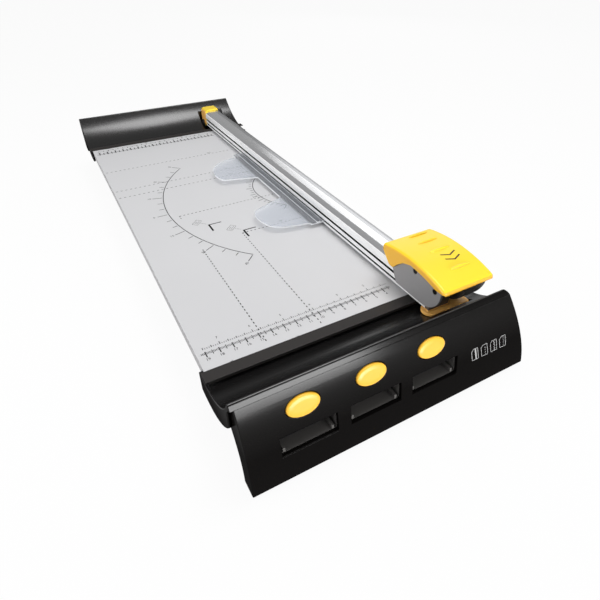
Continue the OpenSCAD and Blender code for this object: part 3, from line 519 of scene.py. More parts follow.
class Finishes:
    """All finishes of the trimmer."""

    black = Finish(
        "gloss black moulding", "black", (0.0062, 0.0058, 0.0058), 0.25, spread=0.06, depth=0.001,
        specular=0.0, coat=0.33, coat_ior=2.5, worn=(0.04, 0.04, 0.04), wear=0.15, dust=0.003,
    )
    # Painted shade: the outer panel's gloss fades towards the table, so its lower part reads darker.
    panel = replace(
        black, name="black outer panel", color=(0.0034, 0.0029, 0.0027), roughness=0.19, spread=0.04,
        coat=0.09, fade=(35.0, 68.0, 0.25), wear=0.1, dust=0.002,
    )
    trim = Finish(
        "grey trim strip", "trim", (0.040, 0.037, 0.036), 0.36, grain_scale=2600.0, depth=0.002,
        specular=0.0, coat=0.08, coat_ior=2.5,
    )
    board = Finish(
        "printed board enamel", "board", (0.655, 0.655, 0.668), 0.48, tint=0.04, spread=0.12,
        cloud_scale=9.0, grain_scale=2200.0, depth=0.002, specular=0.25,
    )
    # Painted shade: a darker grey for the board's left flange, standing in for the shade that falls there.
    board_side = Finish("board flange painted shade", "board", (0.34, 0.335, 0.345), 0.48, tint=0.08, depth=0.003)
    # The buttons' own yellow; on the press cap's walls the same colour is painted shade.
    button = Finish("push button moulding", "yellow", (0.98, 0.53, 0.045), 0.32, tint=0.06, depth=0.003)
    # Painted shade: a more orange copy of the yellow moulding, for yellow faces that stand in shade.
    amber = replace(button, name="amber moulding", color=(0.98, 0.53, 0.14), roughness=0.34)
    yellow = replace(
        button, name="yellow moulding", color=(0.98, 0.70, 0.03), worn=(1.0, 0.78, 0.22), wear=0.15
    )
    rail = Finish(
        "satin aluminium", "rail", (0.90, 0.905, 0.92), 0.20, GroupName.STREAKS, tint=0.10, spread=0.12,
        cloud_scale=420.0, grain_scale=3.0, depth=0.002, metallic=1.0,
    )
    # Painted shade: darker, rougher copies of the aluminium for the strips along the right edge of the
    # rail's top.
    rail_band = replace(rail, name="aluminium band painted shade", color=(0.62, 0.625, 0.64), roughness=0.26, tint=0.2)
    rail_edge = replace(
        rail, name="aluminium edge painted shade", color=(0.40, 0.405, 0.42), roughness=0.30, tint=0.25
    )
    rail_side = replace(
        rail, name="brushed rail side", color=(0.96, 0.963, 0.97), roughness=0.45, tint=0.06, spread=0.1,
        metallic=0.15,
    )
    # Painted shade: near black for the rail's side grooves, standing in for the shade inside them.
    groove = Finish(
        "painted groove shade", "rail", (0.012, 0.012, 0.013), 0.5, GroupName.STREAKS, cloud_scale=420.0,
        grain_scale=3.0, specular=0.1,
    )
    steel = Finish(
        "zinc plated steel", "steel", (0.62, 0.63, 0.65), 0.34, GroupName.STREAKS, tint=0.2, spread=0.2,
        cloud_scale=300.0, grain_scale=40.0, depth=0.003, metallic=1.0,
    )
    blade = Finish(
        "ground blade steel", "blade", (0.80, 0.81, 0.83), 0.16, GroupName.STREAKS, cloud_scale=900.0,
        grain_scale=60.0, depth=0.002, metallic=1.0,
    )
    # Painted shade: near-black screw heads, so the plate's screw holes read as dark shaded holes.
    screw = Finish(
        "screw head painted as hole shade", "steel", (0.030, 0.030, 0.032), 0.4, GroupName.STREAKS, cloud_scale=300.0,
        grain_scale=40.0, metallic=1.0,
    )
    clear = Finish(
        "clear moulding", "clear", (0.70, 0.75, 0.83), 0.10, tint=0.03, spread=0.05, depth=0.001, alpha=0.26
    )
    # Painted highlight: near-opaque white for the clamp's edge faces.
    clear_rim = replace(
        clear, name="clear rim painted highlight", color=(0.94, 0.96, 0.99), roughness=0.14, alpha=0.95
    )
    # Painted shade: a darker, less clear copy for the clamp's strip beside the rail.
    clear_strip = replace(
        clear, name="clear strip painted shade", color=(0.20, 0.215, 0.24), roughness=0.12, alpha=0.42
    )
    plate = Finish(
        "grey side plate", "grey", (0.30, 0.295, 0.30), 0.40, grain_scale=2400.0,
        worn=(0.45, 0.45, 0.46), wear=0.25,
    )
    dark = Finish("dark carriage", "dark", (0.12, 0.108, 0.10), 0.42, grain_scale=2400.0)
    strip = Finish("cutting strip", "strip", (0.022, 0.022, 0.024), 0.55, depth=0.006, dust=0.04)
    tray = Finish("storage tray", "tray", (0.12, 0.115, 0.11), 0.5, specular=0.2, dust=0.01)
    rubber = Finish("foot rubber", "rubber", (0.020, 0.020, 0.020), 0.75, grain_scale=1100.0, depth=0.01)
    bracket = Finish("black bracket", "bracket", (0.012, 0.012, 0.013), 0.4, specular=0.25, dust=0.01)
    acetal = Finish("natural acetal", "acetal", (0.84, 0.83, 0.80), 0.38, tint=0.05)
    holder = Finish("cartridge holder", "holder", (0.010, 0.010, 0.011), 0.45, specular=0.2, dust=0.01)
    ink = Finish(
        "dark print", "board", (0.010, 0.010, 0.011), 0.6, tint=0.5, cloud_scale=160.0, specular=0.1
    )
    faint_ink = replace(ink, name="grey print", color=(0.045, 0.045, 0.05), tint=0.4)
    white_ink = Finish("pale print", "black", (0.42, 0.42, 0.42), 0.5, tint=0.2, cloud_scale=160.0)
    brown_ink = Finish("brown print", "yellow", (0.030, 0.018, 0.006), 0.5, tint=0.4, cloud_scale=160.0)


@dataclass(frozen=True)
class Accent:
    """A further finish on some of a piece's faces."""

    finish: Finish
    faces: FaceTest


def body_of(node: str) -> str:
    """Gives the body that a node rides on."""
    bodies = frame["record"]["behaviour"]["bodies"]
    return next(body for body, members in bodies.items() if node in members)


def cad_copy(node: str) -> BMesh:
    """Copies a CAD node as a merged mesh in millimetres.

    Args:
        node: Name of the node.

    Returns:
        The merged mesh with its flat faces joined.
    """
    bm = bmesh.new()
    bm.from_mesh(frame["nodes"][node].data)
    bmesh.ops.scale(bm, vec=(1 / MM,) * 3, verts=bm.verts)
    bmesh.ops.remove_doubles(bm, verts=bm.verts, dist=MERGE_GAP)
    bmesh.ops.dissolve_limit(bm, angle_limit=math.radians(FLAT_ANGLE), verts=bm.verts, edges=bm.edges)
    return bm


def corner(edge: BMEdge, degrees: float = CORNER_ANGLE) -> bool:
    """Tells whether an edge is a real corner, with more than some degrees between its two faces."""
    return len(edge.link_faces) == 2 and edge.calc_face_angle() > math.radians(degrees)


def on_side(face: BMFace) -> bool:
    """Tells whether a face looks out to the left or the right."""
    return abs(face.normal.x) > SIDE_LOOK


def soften(bm: BMesh, width: float, segments: int = 2, chosen: EdgeTest = corner) -> None:
    """Rounds the chosen edges.

    Args:
        bm: The mesh, in millimetres.
        width: Width of the rounding.
        segments: Faces across the rounding.
        chosen: Which edges are rounded.
    """
    edges = [edge for edge in bm.edges if chosen(edge)]
    bmesh.ops.bevel(
        bm, geom=edges, offset=width, offset_type="OFFSET", segments=segments, profile=0.5, affect="EDGES",
        clamp_overlap=False, material=-1,
    )


def score(bm: BMesh, places: Sequence[float]) -> None:
    """Cuts a mesh's faces at places across X.

    Args:
        bm: The mesh, in millimetres.
        places: X of each cut.
    """
    for x in places:
        geom = [*bm.verts, *bm.edges, *bm.faces]
        bmesh.ops.bisect_plane(bm, geom=geom, dist=CUT_GAP, plane_co=(x, 0, 0), plane_no=(1, 0, 0))


def mesh_from(name: str, bm: BMesh) -> Mesh:
    """Stores a mesh under construction.

    Args:
        name: Name of the stored mesh.
        bm: The mesh, which is used up.

    Returns:
        The stored mesh.
    """
    mesh = bpy.data.meshes.new(name)
    bm.to_mesh(mesh)
    bm.free()
    return mesh


def add_object(name: str, data: bpy.types.ID) -> Object:
    """Puts an object into the scene.

    Args:
        name: Name of the object.
        data: Its mesh, lamp or camera.

    Returns:
        The new object.
    """
    item = bpy.data.objects.new(name, data)
    bpy.context.scene.collection.objects.link(item)
    return item


def place_piece(
    name: str,
    bm: BMesh,
    finish: Finish,
    body: str,
    stands_for: Sequence[str] = (),
    crease: float = CREASE_ANGLE,
    accents: Sequence[Accent] = (),
) -> Object:
    """Turns a mesh in millimetres into a dressed piece on its body.

    Args:
        name: Name of the piece.
        bm: The mesh, which is used up.
        finish: Its finish.
        body: The body that it rides on.
        stands_for: CAD nodes that it replaces.
        crease: Angle in degrees above which an edge stays sharp.
        accents: Further finishes and the faces that get them, the first that fits a face.

    Returns:
        The new object.
    """
    bm.normal_update()
    for face in bm.faces:
        fits = [number for number, accent in enumerate(accents, 1) if accent.faces(face)]
        face.material_index = fits[0] if fits else 0
        face.smooth = True
    bmesh.ops.scale(bm, vec=(MM,) * 3, verts=bm.verts)
    for edge in bm.edges:
        edge.smooth = not corner(edge, crease)
    mesh = mesh_from(name, bm)
    for dressing in (finish, *(accent.finish for accent in accents)):
        mesh.materials.append(dressing.material())
    piece = add_object(name, mesh)
    weighted = piece.modifiers.new("even shading", "WEIGHTED_NORMAL")
    weighted.keep_sharp = True
    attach(piece, body)
    for node in stands_for:
        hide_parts(node)
    log.info("%s: %d faces on %s", name, len(mesh.polygons), body)
    return piece


@dataclass
class SoftPart:
    """A CAD node shown with rounded edges."""

    node: str
    finish: Finish
    width: float
    segments: int = 2
    accents: Sequence[Accent] = ()
    chosen: EdgeTest = corner

    def build(self) -> Object:
        """Builds and dresses the piece.

        Returns:
            The new object.
        """
        bm = cad_copy(self.node)
        soften(bm, self.width, self.segments, self.chosen)
        name = f"{self.node}_shape"
        return place_piece(name, bm, self.finish, body_of(self.node), (self.node,), accents=self.accents)


@dataclass
class Housing:
    """Board, trims, end caps and outer panels."""

    edge_round: float = 0.7
    edge_segments: int = 3
    trim_round: float = 0.35
    board_round: float = 0.5
    seam_z: float = box_mm("front_fascia")[1].z
    seam_gap: float = 0.6
    outward_look: float = 0.2
    flange_look: float = 0.5

    def build(self) -> None:
        """Builds and dresses the fixed pieces."""
        outside = (Accent(Finishes.panel, self._outer),)
        shells = (
            ("front_cap", Finishes.black, outside),
            ("rear_cap", Finishes.black, outside),
            ("front_fascia", Finishes.panel, ()),
            ("rear_fascia", Finishes.panel, ()),
        )
        for node, finish, accents in shells:
            SoftPart(node, finish, self.edge_round, self.edge_segments, accents, self._off_seam).build()
        for node in ("front_trim", "rear_trim"):
            SoftPart(node, Finishes.trim, self.trim_round).build()
        # Painted shade: the board's left-facing flange faces get the darker grey.
        flange = (Accent(Finishes.board_side, self._on_flange),)
        SoftPart("base_board", Finishes.board, self.board_round, accents=flange).build()

    def _off_seam(self, edge: BMEdge) -> bool:
        """Tells whether an edge is a corner away from the fine seam between a cap and its panel."""
        return corner(edge) and any(abs(vert.co.z - self.seam_z) > self.seam_gap for vert in edge.verts)

    def _outer(self, face: BMFace) -> bool:
        """Tells whether a face of an end cap looks out of the trimmer instead of into the trough."""
        away = math.copysign(1.0, face.calc_center_median().y)
        return on_side(face) or face.normal.y * away > self.outward_look

    def _on_flange(self, face: BMFace) -> bool:
        """Tells whether a face of the board looks out to the left."""
        return face.normal.x < -self.flange_look


@dataclass
class PrintSheet:
    """Flat print collected in one mesh, drawn in the plane of X and Y."""

    bm: BMesh = field(default_factory=bmesh.new)
    line: float = 0.3
    arc_step: float = 1.5
    figure_scale: float = 1.35

    def bar(self, start: Vector, end: Vector, width: float = 0.0) -> None:
        """Prints a straight line.

        Args:
            start: One end.
            end: Other end.
            width: Width of the line, or 0 for the sheet's usual one.
        """
        run = Vector(end) - Vector(start)
        turn = Matrix.Rotation(math.atan2(run.y, run.x), 4, "Z")
        size = Matrix.Diagonal((run.length / 2, (width or self.line) / 2, 1.0, 1.0))
        middle = Matrix.Translation(((start[0] + end[0]) / 2, (start[1] + end[1]) / 2, 0.0))
        bmesh.ops.create_grid(self.bm, x_segments=1, y_segments=1, size=1.0, matrix=middle @ turn @ size)

    def outline(self, points: list[Vector], width: float = 0.0) -> None:
        """Prints a closed outline.

        Args:
            points: Its corners.
            width: Width of the line, or 0 for the sheet's usual one.
        """
        for start, end in zip(points, points[1:] + points[:1]):
            self.bar(start, end, width)

    def dashes(self, start: Vector, end: Vector, dash: float, space: float, width: float) -> None:
        """Prints a dashed line.

        Args:
            start: One end.
            end: Other end.
            dash: Length of a dash.
            space: Gap between dashes.
            width: Width of the line.
        """
        start, end = Vector(start), Vector(end)
        way = (end - start).normalized()
        for step in range(int((end - start).length / (dash + space))):
            head = start + way * step * (dash + space)
            self.bar(head, head + way * dash, width)

    def arc(self, middle: Vector, radius: float, first: float, last: float, width: float) -> None:
        """Prints a round line.

        Args:
            middle: Centre of the arc.
            radius: Its radius.
            first: Angle of its start in degrees.
            last: Angle of its end in degrees.
            width: Width of the line.
        """
        turn = Matrix.Rotation(math.radians(first), 3, "Z")
        ends = [
            self.bm.verts.new(Vector((*middle, 0)) + turn @ Vector((radius + side * width / 2, 0, 0)))
            for side in (-1, 1)
        ]
        edge = self.bm.edges.new(ends)
        bmesh.ops.spin(
            self.bm, geom=[*ends, edge], cent=(*middle, 0), axis=UP, angle=math.radians(last - first),
            steps=int((last - first) / self.arc_step), use_merge=False,
        )

    def words(self, text: str, place: Vector, size: float, turn: float = 0.0) -> None:
        """Prints numbers.

        Args:
            text: The numbers.
            place: Their middle.
            size: Height of the figures.
            turn: Turn to the left in degrees.
        """
        curve = bpy.data.curves.new("figures", "FONT")
        curve.body = text
        curve.size = size * self.figure_scale
        curve.align_x = "CENTER"
        curve.align_y = "CENTER"
        curve.resolution_u = 2
        holder = bpy.data.objects.new("figures", curve)
        mesh = bpy.data.meshes.new_from_object(holder)
        mesh.transform(Matrix.Translation((*place, 0)) @ Matrix.Rotation(math.radians(turn), 4, "Z"))
        self.bm.from_mesh(mesh)
        bpy.data.objects.remove(holder)
        bpy.data.curves.remove(curve)
        bpy.data.meshes.remove(mesh)

    def facing_up(self, cuts: int = 0) -> BMesh:
        """Turns all print to face up.

        Args:
            cuts: Cuts across each line, for print that is bent later.

        Returns:
            The sheet's mesh.
        """
        self.bm.normal_update()
        wrong = [face for face in self.bm.faces if face.normal.z < 0]
        bmesh.ops.reverse_faces(self.bm, faces=wrong)
        if cuts:
            bmesh.ops.subdivide_edges(self.bm, edges=self.bm.edges, cuts=cuts, use_grid_fill=True)
        return self.bm


@dataclass
class BoardPrint:
    """Rulers, format lines and angle scale on the board; X is measured leftwards from the cut line.

    A tick is the step that it marks and its reach to either side of its row, a dash is its length, gap and
    width, and figures are their distance from the row and their height.
    """

    dark_line: float = 0.55
    faint_line: float = 0.42
    reach: float = 190.0
    rail_side: float = 32.0
    front_cm: float = 17.0
    front_inch: float = 23.4
    rear_cm: float = 431.0
    rear_inch: float = 441.5
    rear_bold: float = 0.5
    rear_longer: float = 2.0
    cm_span: tuple = (33, 193)
    cm_ticks: tuple = ((10, 4.0, 1.6), (5, 2.6, 1.6), (1, 1.2, 0.8))
    cm_line: float = 0.8
    cm_figures: tuple = (6.2, 2.5)
    inch: float = 25.4
    inch_ticks: tuple = ((16, 3.0), (4, 2.2), (1, 1.2))
    inch_drop: float = 2.4
    inch_figures: tuple = (5.0, 2.3)
    formats: tuple = ((365.5, "355"), (305.8, "297"), (287.5, "279"))
    format_reach: float = 194.0
    format_dash: tuple = (2.2, 3.0, 0.8)
    frames: tuple = ((148.0, 216.3, 12.0, 72.0, "210"), (104.3, 154.3, 0.0, 0.0, "148"))
    frame_dash: tuple = (1.8, 2.4, 0.8)
    frame_front: float = 3.0
    length_x: float = 62.0
    length_figures: tuple = (3.4, 2.6)
    corners: tuple = ((127.5, 185.0), (101.2, 158.7))
    corner_arm: float = 13.0
    corner_lines: tuple = (1.3, 1.8)
    card_place: tuple = (-9.0, 10.0)
    card_half: tuple = (4.8, 2.9)
    card_turn: float = 45.0
    card_line: float = 0.3
    card_margin: float = 1.5
    card_rows: tuple = ((1.9, 1.5), (3.8, 3.5))
    card_pointer: tuple = (3.0, 8.0)
    card_dash: tuple = (0.8, 0.8, 0.5)
    angle_middle: float = 225.5
    angle_radii: tuple = (156.6, 56.7)
    angle_span: int = 45
    angle_step: int = 5
    angle_major: int = 15
    angle_line: float = 0.75
    angle_gap: float = 1.5
    angle_ticks: tuple = (10.0, 5.0)
    angle_full_r: float = 90.0
    angle_figures: tuple = (15.0, 3.0)

    def build(self) -> None:
        """Builds the dark and the faint print."""
        dark, faint = PrintSheet(line=self.dark_line), PrintSheet(line=self.faint_line)
        self._centimetres(dark, faint, self.front_cm, 1)
        self._centimetres(dark, faint, self.rear_cm, -1)
        self._inches(dark, faint, self.front_inch, 1)
        self._inches(dark, faint, self.rear_inch, -1)
        self._formats(dark)
        self._corners(dark)
        self._angles(dark, faint)
        layers = (("board_print", dark, Finishes.ink), ("board_fine_print", faint, Finishes.faint_ink))
        for name, sheet, finish in layers:
            bm = sheet.facing_up()
            move = (PLACE.cut_x, -PLACE.edge_y, PLACE.board_top + PRINT_LIFT)
            bmesh.ops.translate(bm, vec=move, verts=bm.verts)
            place_piece(name, bm, finish, "base")

    def _centimetres(self, dark: PrintSheet, faint: PrintSheet, row: float, side: int) -> None:
        """Prints a centimetre row with its millimetres.

        Args:
            dark: Sheet of the longer ticks and the figures.
            faint: Sheet of the short ticks.
            row: Distance of the row from the board's front edge.
            side: 1 where the figures stand in front of the row, -1 where they stand behind it.
        """
        (whole, *_), (half, *_), _ = self.cm_ticks
        figure_gap, figure_size = self.cm_figures
        for step in range(self.cm_span[0], self.cm_span[1] + 1):
            out, back = next(tick[1:] for tick in self.cm_ticks if step % tick[0] == 0)
            sheet = faint if step % half else dark
            width = sheet.line if step % whole else self.cm_line
            if side < 0 and sheet is dark:
                width += self.rear_bold
                out += self.rear_longer
            sheet.bar((-step, row - out * side), (-step, row + back * side), width)
            if step % whole == 0:
                dark.words(str(step // whole), (-step, row - figure_gap * side), figure_size)

    def _inches(self, dark: PrintSheet, faint: PrintSheet, row: float, side: int) -> None:
        """Prints an inch row with its sixteenths.

        Args:
            dark: Sheet of the longer ticks and the figures.
            faint: Sheet of the short ticks.
            row: Distance of the row from the board's front edge.
            side: 1 for the front row, which has figures behind it, -1 for the rear row.
        """
        (whole, _), (quarter, _), _ = self.inch_ticks
        figure_gap, figure_size = self.inch_figures
        first = math.ceil(self.rail_side / self.inch * whole)
        last = math.ceil(self.reach / self.inch * whole)
        for step in range(first, last + 1):
            x = -step * self.inch / whole
            tall = next(reach for every, reach in self.inch_ticks if step % every == 0)
            sheet = faint if step % quarter else dark
            width = sheet.line + (self.rear_bold if side < 0 and sheet is dark else 0.0)
            low, high = row - self.inch_drop * side, row + (tall - self.inch_drop) * side
            sheet.bar((x, low), (x, high), width)
            if step % whole == 0 and side > 0:
                dark.words(str(step // whole), (x, row + figure_gap), figure_size)

    def _formats(self, sheet: PrintSheet) -> None:
        """Prints the dashed sheet formats with their lengths.

        Args:
            sheet: Sheet that they go on.
        """
        figure_gap, figure_size = self.length_figures
        for y, length in self.formats:
            sheet.dashes((-self.format_reach, y), (-self.rail_side, y), *self.format_dash)
            sheet.words(length, (-self.length_x, y + figure_gap), figure_size)
        for x, y, break_from, break_to, length in self.frames:
            sheet.dashes((-x, y), (-self.rail_side, y), *self.frame_dash)
            sheet.dashes((-x, y), (-x, y - break_from), *self.frame_dash)
            sheet.dashes((-x, y - break_to), (-x, self.frame_front), *self.frame_dash)
            sheet.words(length, (-self.length_x, y + figure_gap), figure_size)

    def _corners(self, sheet: PrintSheet) -> None:
        """Prints the corner marks, each with a small card behind it.

        Args:
            sheet: Sheet that they go on.
        """
        level, upright = self.corner_lines
        for x, y in self.corners:
            sheet.bar((-x - upright / 2, y), (-x + self.corner_arm, y), level)
            sheet.bar((-x, y + level / 2), (-x, y - self.corner_arm), upright)
            self._card(sheet, Vector((-x, y)) + Vector(self.card_place))

    def _card(self, sheet: PrintSheet, middle: Vector) -> None:
        """Prints a small outlined card that lies askew and points at its corner mark.

        Args:
            sheet: Sheet that it goes on.
            middle: Its middle.
        """
        turn = Matrix.Rotation(math.radians(self.card_turn), 2)
        wide, deep = self.card_half
        points = ((-wide, -deep), (wide, -deep), (wide, deep), (-wide, deep))
        loop = [turn @ Vector(point) + middle for point in points]
        sheet.outline(loop, self.card_line)
        for rise, short in self.card_rows:
            start = loop[0] + turn @ Vector((self.card_margin, rise))
            end = loop[1] + turn @ Vector((-short, rise))
            sheet.bar(start, end, self.card_line)
        near, far = (middle + Vector((reach, -reach)) for reach in self.card_pointer)
        sheet.dashes(near, far, *self.card_dash)

    def _angles(self, dark: PrintSheet, faint: PrintSheet) -> None:
        """Prints the angle scale round the middle of the cut line.

        Args:
            dark: Sheet of the arcs and the figures.
            faint: Sheet of the ticks.
        """
        middle = Vector((0, self.angle_middle))
        figure_gap, figure_size = self.angle_figures
        major, minor = self.angle_ticks
        for radius in self.angle_radii:
            dark.arc(middle, radius, 180 - self.angle_span, 180 + self.angle_span, self.angle_line)
            for degrees in range(-self.angle_span, self.angle_span + 1, self.angle_step):
                way = Matrix.Rotation(math.radians(degrees), 2) @ Vector((-1, 0))
                tick = minor if degrees % self.angle_major else major
                start = middle + way * (radius + self.angle_gap)
                end = start + way * tick * min(1.0, radius / self.angle_full_r)
                faint.bar(start, end, self.angle_line)
                if degrees % self.angle_major == 0 and radius > self.angle_full_r:
                    place = middle + way * (radius + figure_gap)
                    dark.words(str(abs(degrees)), place, figure_size, degrees)


@dataclass
class EjectButton:
    """Oval push button with a soft rim and a low crown; a step is an inset and its share of the rise."""

    number: int
    tilt: float = 21.57
    rim: float = 1.1
    rim_segments: int = 4
    rim_gap: float = 0.05
    crown: float = 0.35
    crown_steps: tuple = ((0.6, 0.4), (1.0, 0.4), (1.2, 0.2))
    area_share: float = 1e-4
    crease: float = 50.0

    def build(self) -> Object:
        """Builds and dresses the button.

        Returns:
            The new object.
        """
        node = f"eject_button_{self.number}"
        bm = cad_copy(node)
        out = Vector((0, -math.cos(math.radians(self.tilt)), math.sin(math.radians(self.tilt))))
        top = max(vert.co.dot(out) for vert in bm.verts) - self.rim_gap
        soften(
            bm, self.rim, self.rim_segments,
            lambda edge: corner(edge) and all(vert.co.dot(out) > top for vert in edge.verts),
        )
        front = max(
            bm.faces,
            key=lambda face: face.calc_center_median().dot(out) + face.calc_area() * self.area_share,
        )
        for width, share in self.crown_steps:
            bmesh.ops.inset_region(bm, faces=[front], thickness=width, use_even_offset=True)
            bmesh.ops.translate(bm, vec=out * share * self.crown, verts=front.verts)
        return place_piece(f"{node}_shape", bm, Finishes.button, body_of(node), (node,), self.crease)


@dataclass
class RailUnit:
    """Rail with its two end plugs and the clear paper clamp."""

    segments: int = 3
    rail_round: float = 0.35
    rear_round: float = 1.0
    front_round: float = 0.6
    clamp_round: float = 0.4
    dull_edge: float = 3.0
    dull_band: float = 6.5
    top_look: float = 0.3
    groove_skin: float = 0.4
    groove_d: float = 2.6
    groove_top: float = 13.0
    crease_x: float = 38.0
    ridge_from: float = 44.2
    ridge_to: float = 48.0
    ridge_lift: float = 1.0
    ridge_look: float = 0.9
    wing_rise: float = 2.0
    wing_reach: float = 43.0
    rim_look: float = 0.6

    def build(self) -> None:
        """Builds and dresses the hinged pieces."""
        self._rail()
        # Painted shade: the rear cap's side faces get the more orange shaded yellow.
        ends = (Accent(Finishes.amber, on_side),)
        SoftPart("rail_rear_cap", Finishes.yellow, self.rear_round, self.segments, ends).build()
        SoftPart("rail_front_plug", Finishes.dark, self.front_round, self.segments).build()
        # Painted shade: the front block, under the carriage, is all in the more orange shaded yellow.
        SoftPart("rail_front_block", Finishes.amber, self.front_round, self.segments).build()
        self._clamp()

    def _rail(self) -> Object:
        """Builds the rail, with painted shade in its side grooves and along the right edge of its top.

        Returns:
            The new object.
        """
        bm = cad_copy("rail")
        soften(bm, self.rail_round, self.segments)
        score(bm, [PLACE.rail_right - depth for depth in (self.dull_edge, self.dull_band)])
        parts = (
            # Painted shade: the grooves get the near-black finish.
            Accent(Finishes.groove, self._in_groove),
            Accent(Finishes.rail_side, on_side),
            # Painted shade: darker aluminium on the top's strips nearest the right edge.
            Accent(Finishes.rail_edge, lambda face: self._near_right(face, self.dull_edge)),
            Accent(Finishes.rail_band, lambda face: self._near_right(face, self.dull_band)),
        )
        return place_piece("rail_shape", bm, Finishes.rail, body_of("rail"), ("rail",), accents=parts)

    def _near_right(self, face: BMFace, depth: float) -> bool:
        """Tells whether a face of the rail's top lies within a depth of the right edge."""
        return face.normal.z > self.top_look and PLACE.rail_right - face.calc_center_median().x < depth

    def _in_groove(self, face: BMFace) -> bool:
        """Tells whether a face of the rail lies in a side groove.

        Args:
            face: The face.

        Returns:
            True for a face in a groove.
        """
        middle = face.calc_center_median()
        inside = min(middle.x - PLACE.rail_left, PLACE.rail_right - middle.x)
        return self.groove_skin < inside < self.groove_d and middle.z < PLACE.board_top + self.groove_top

    def _on_strip(self, face: BMFace) -> bool:
        """Tells whether a face of the clamp lies on its strip beside the rail."""
        return face.calc_center_median().x > self.crease_x

    def _at_rim(self, face: BMFace) -> bool:
        """Tells whether a face of the clamp is part of its edge."""
        return abs(face.normal.z) < self.rim_look

    def _on_ridge(self, face: BMFace) -> bool:
        """Tells whether a face of the clamp is where its ridge rises."""
        return face.normal.z > self.ridge_look and (
            self.ridge_from < face.calc_center_median().x < self.ridge_to
        )

    def _clamp(self) -> Object:
        """Builds the clamp: a ridge along its strip and wings that rise outwards, with a painted highlight
        on its rim and painted shade on its strip.

        Returns:
            The new object.
        """
        bm = cad_copy("paper_clamp")
        score(bm, (self.crease_x, self.ridge_from, self.ridge_to))
        bm.normal_update()
        upper = [face for face in bm.faces if self._on_ridge(face)]
        raised = bmesh.ops.extrude_face_region(bm, geom=upper)["geom"]
        verts = [item for item in raised if isinstance(item, BMVert)]
        bmesh.ops.translate(bm, vec=(0, 0, self.ridge_lift), verts=verts)
        bmesh.ops.delete(bm, geom=upper, context="FACES_ONLY")
        for vert in bm.verts:
            vert.co.z += max(0.0, self.crease_x - vert.co.x) / self.wing_reach * self.wing_rise
        bmesh.ops.recalc_face_normals(bm, faces=bm.faces)
        soften(bm, self.clamp_round, self.segments)
        # Painted highlight on the rim faces and painted shade on the strip.
        parts = (Accent(Finishes.clear_rim, self._at_rim), Accent(Finishes.clear_strip, self._on_strip))
        name = "paper_clamp_shape"
        return place_piece(name, bm, Finishes.clear, "clamp", ("paper_clamp",), accents=parts)


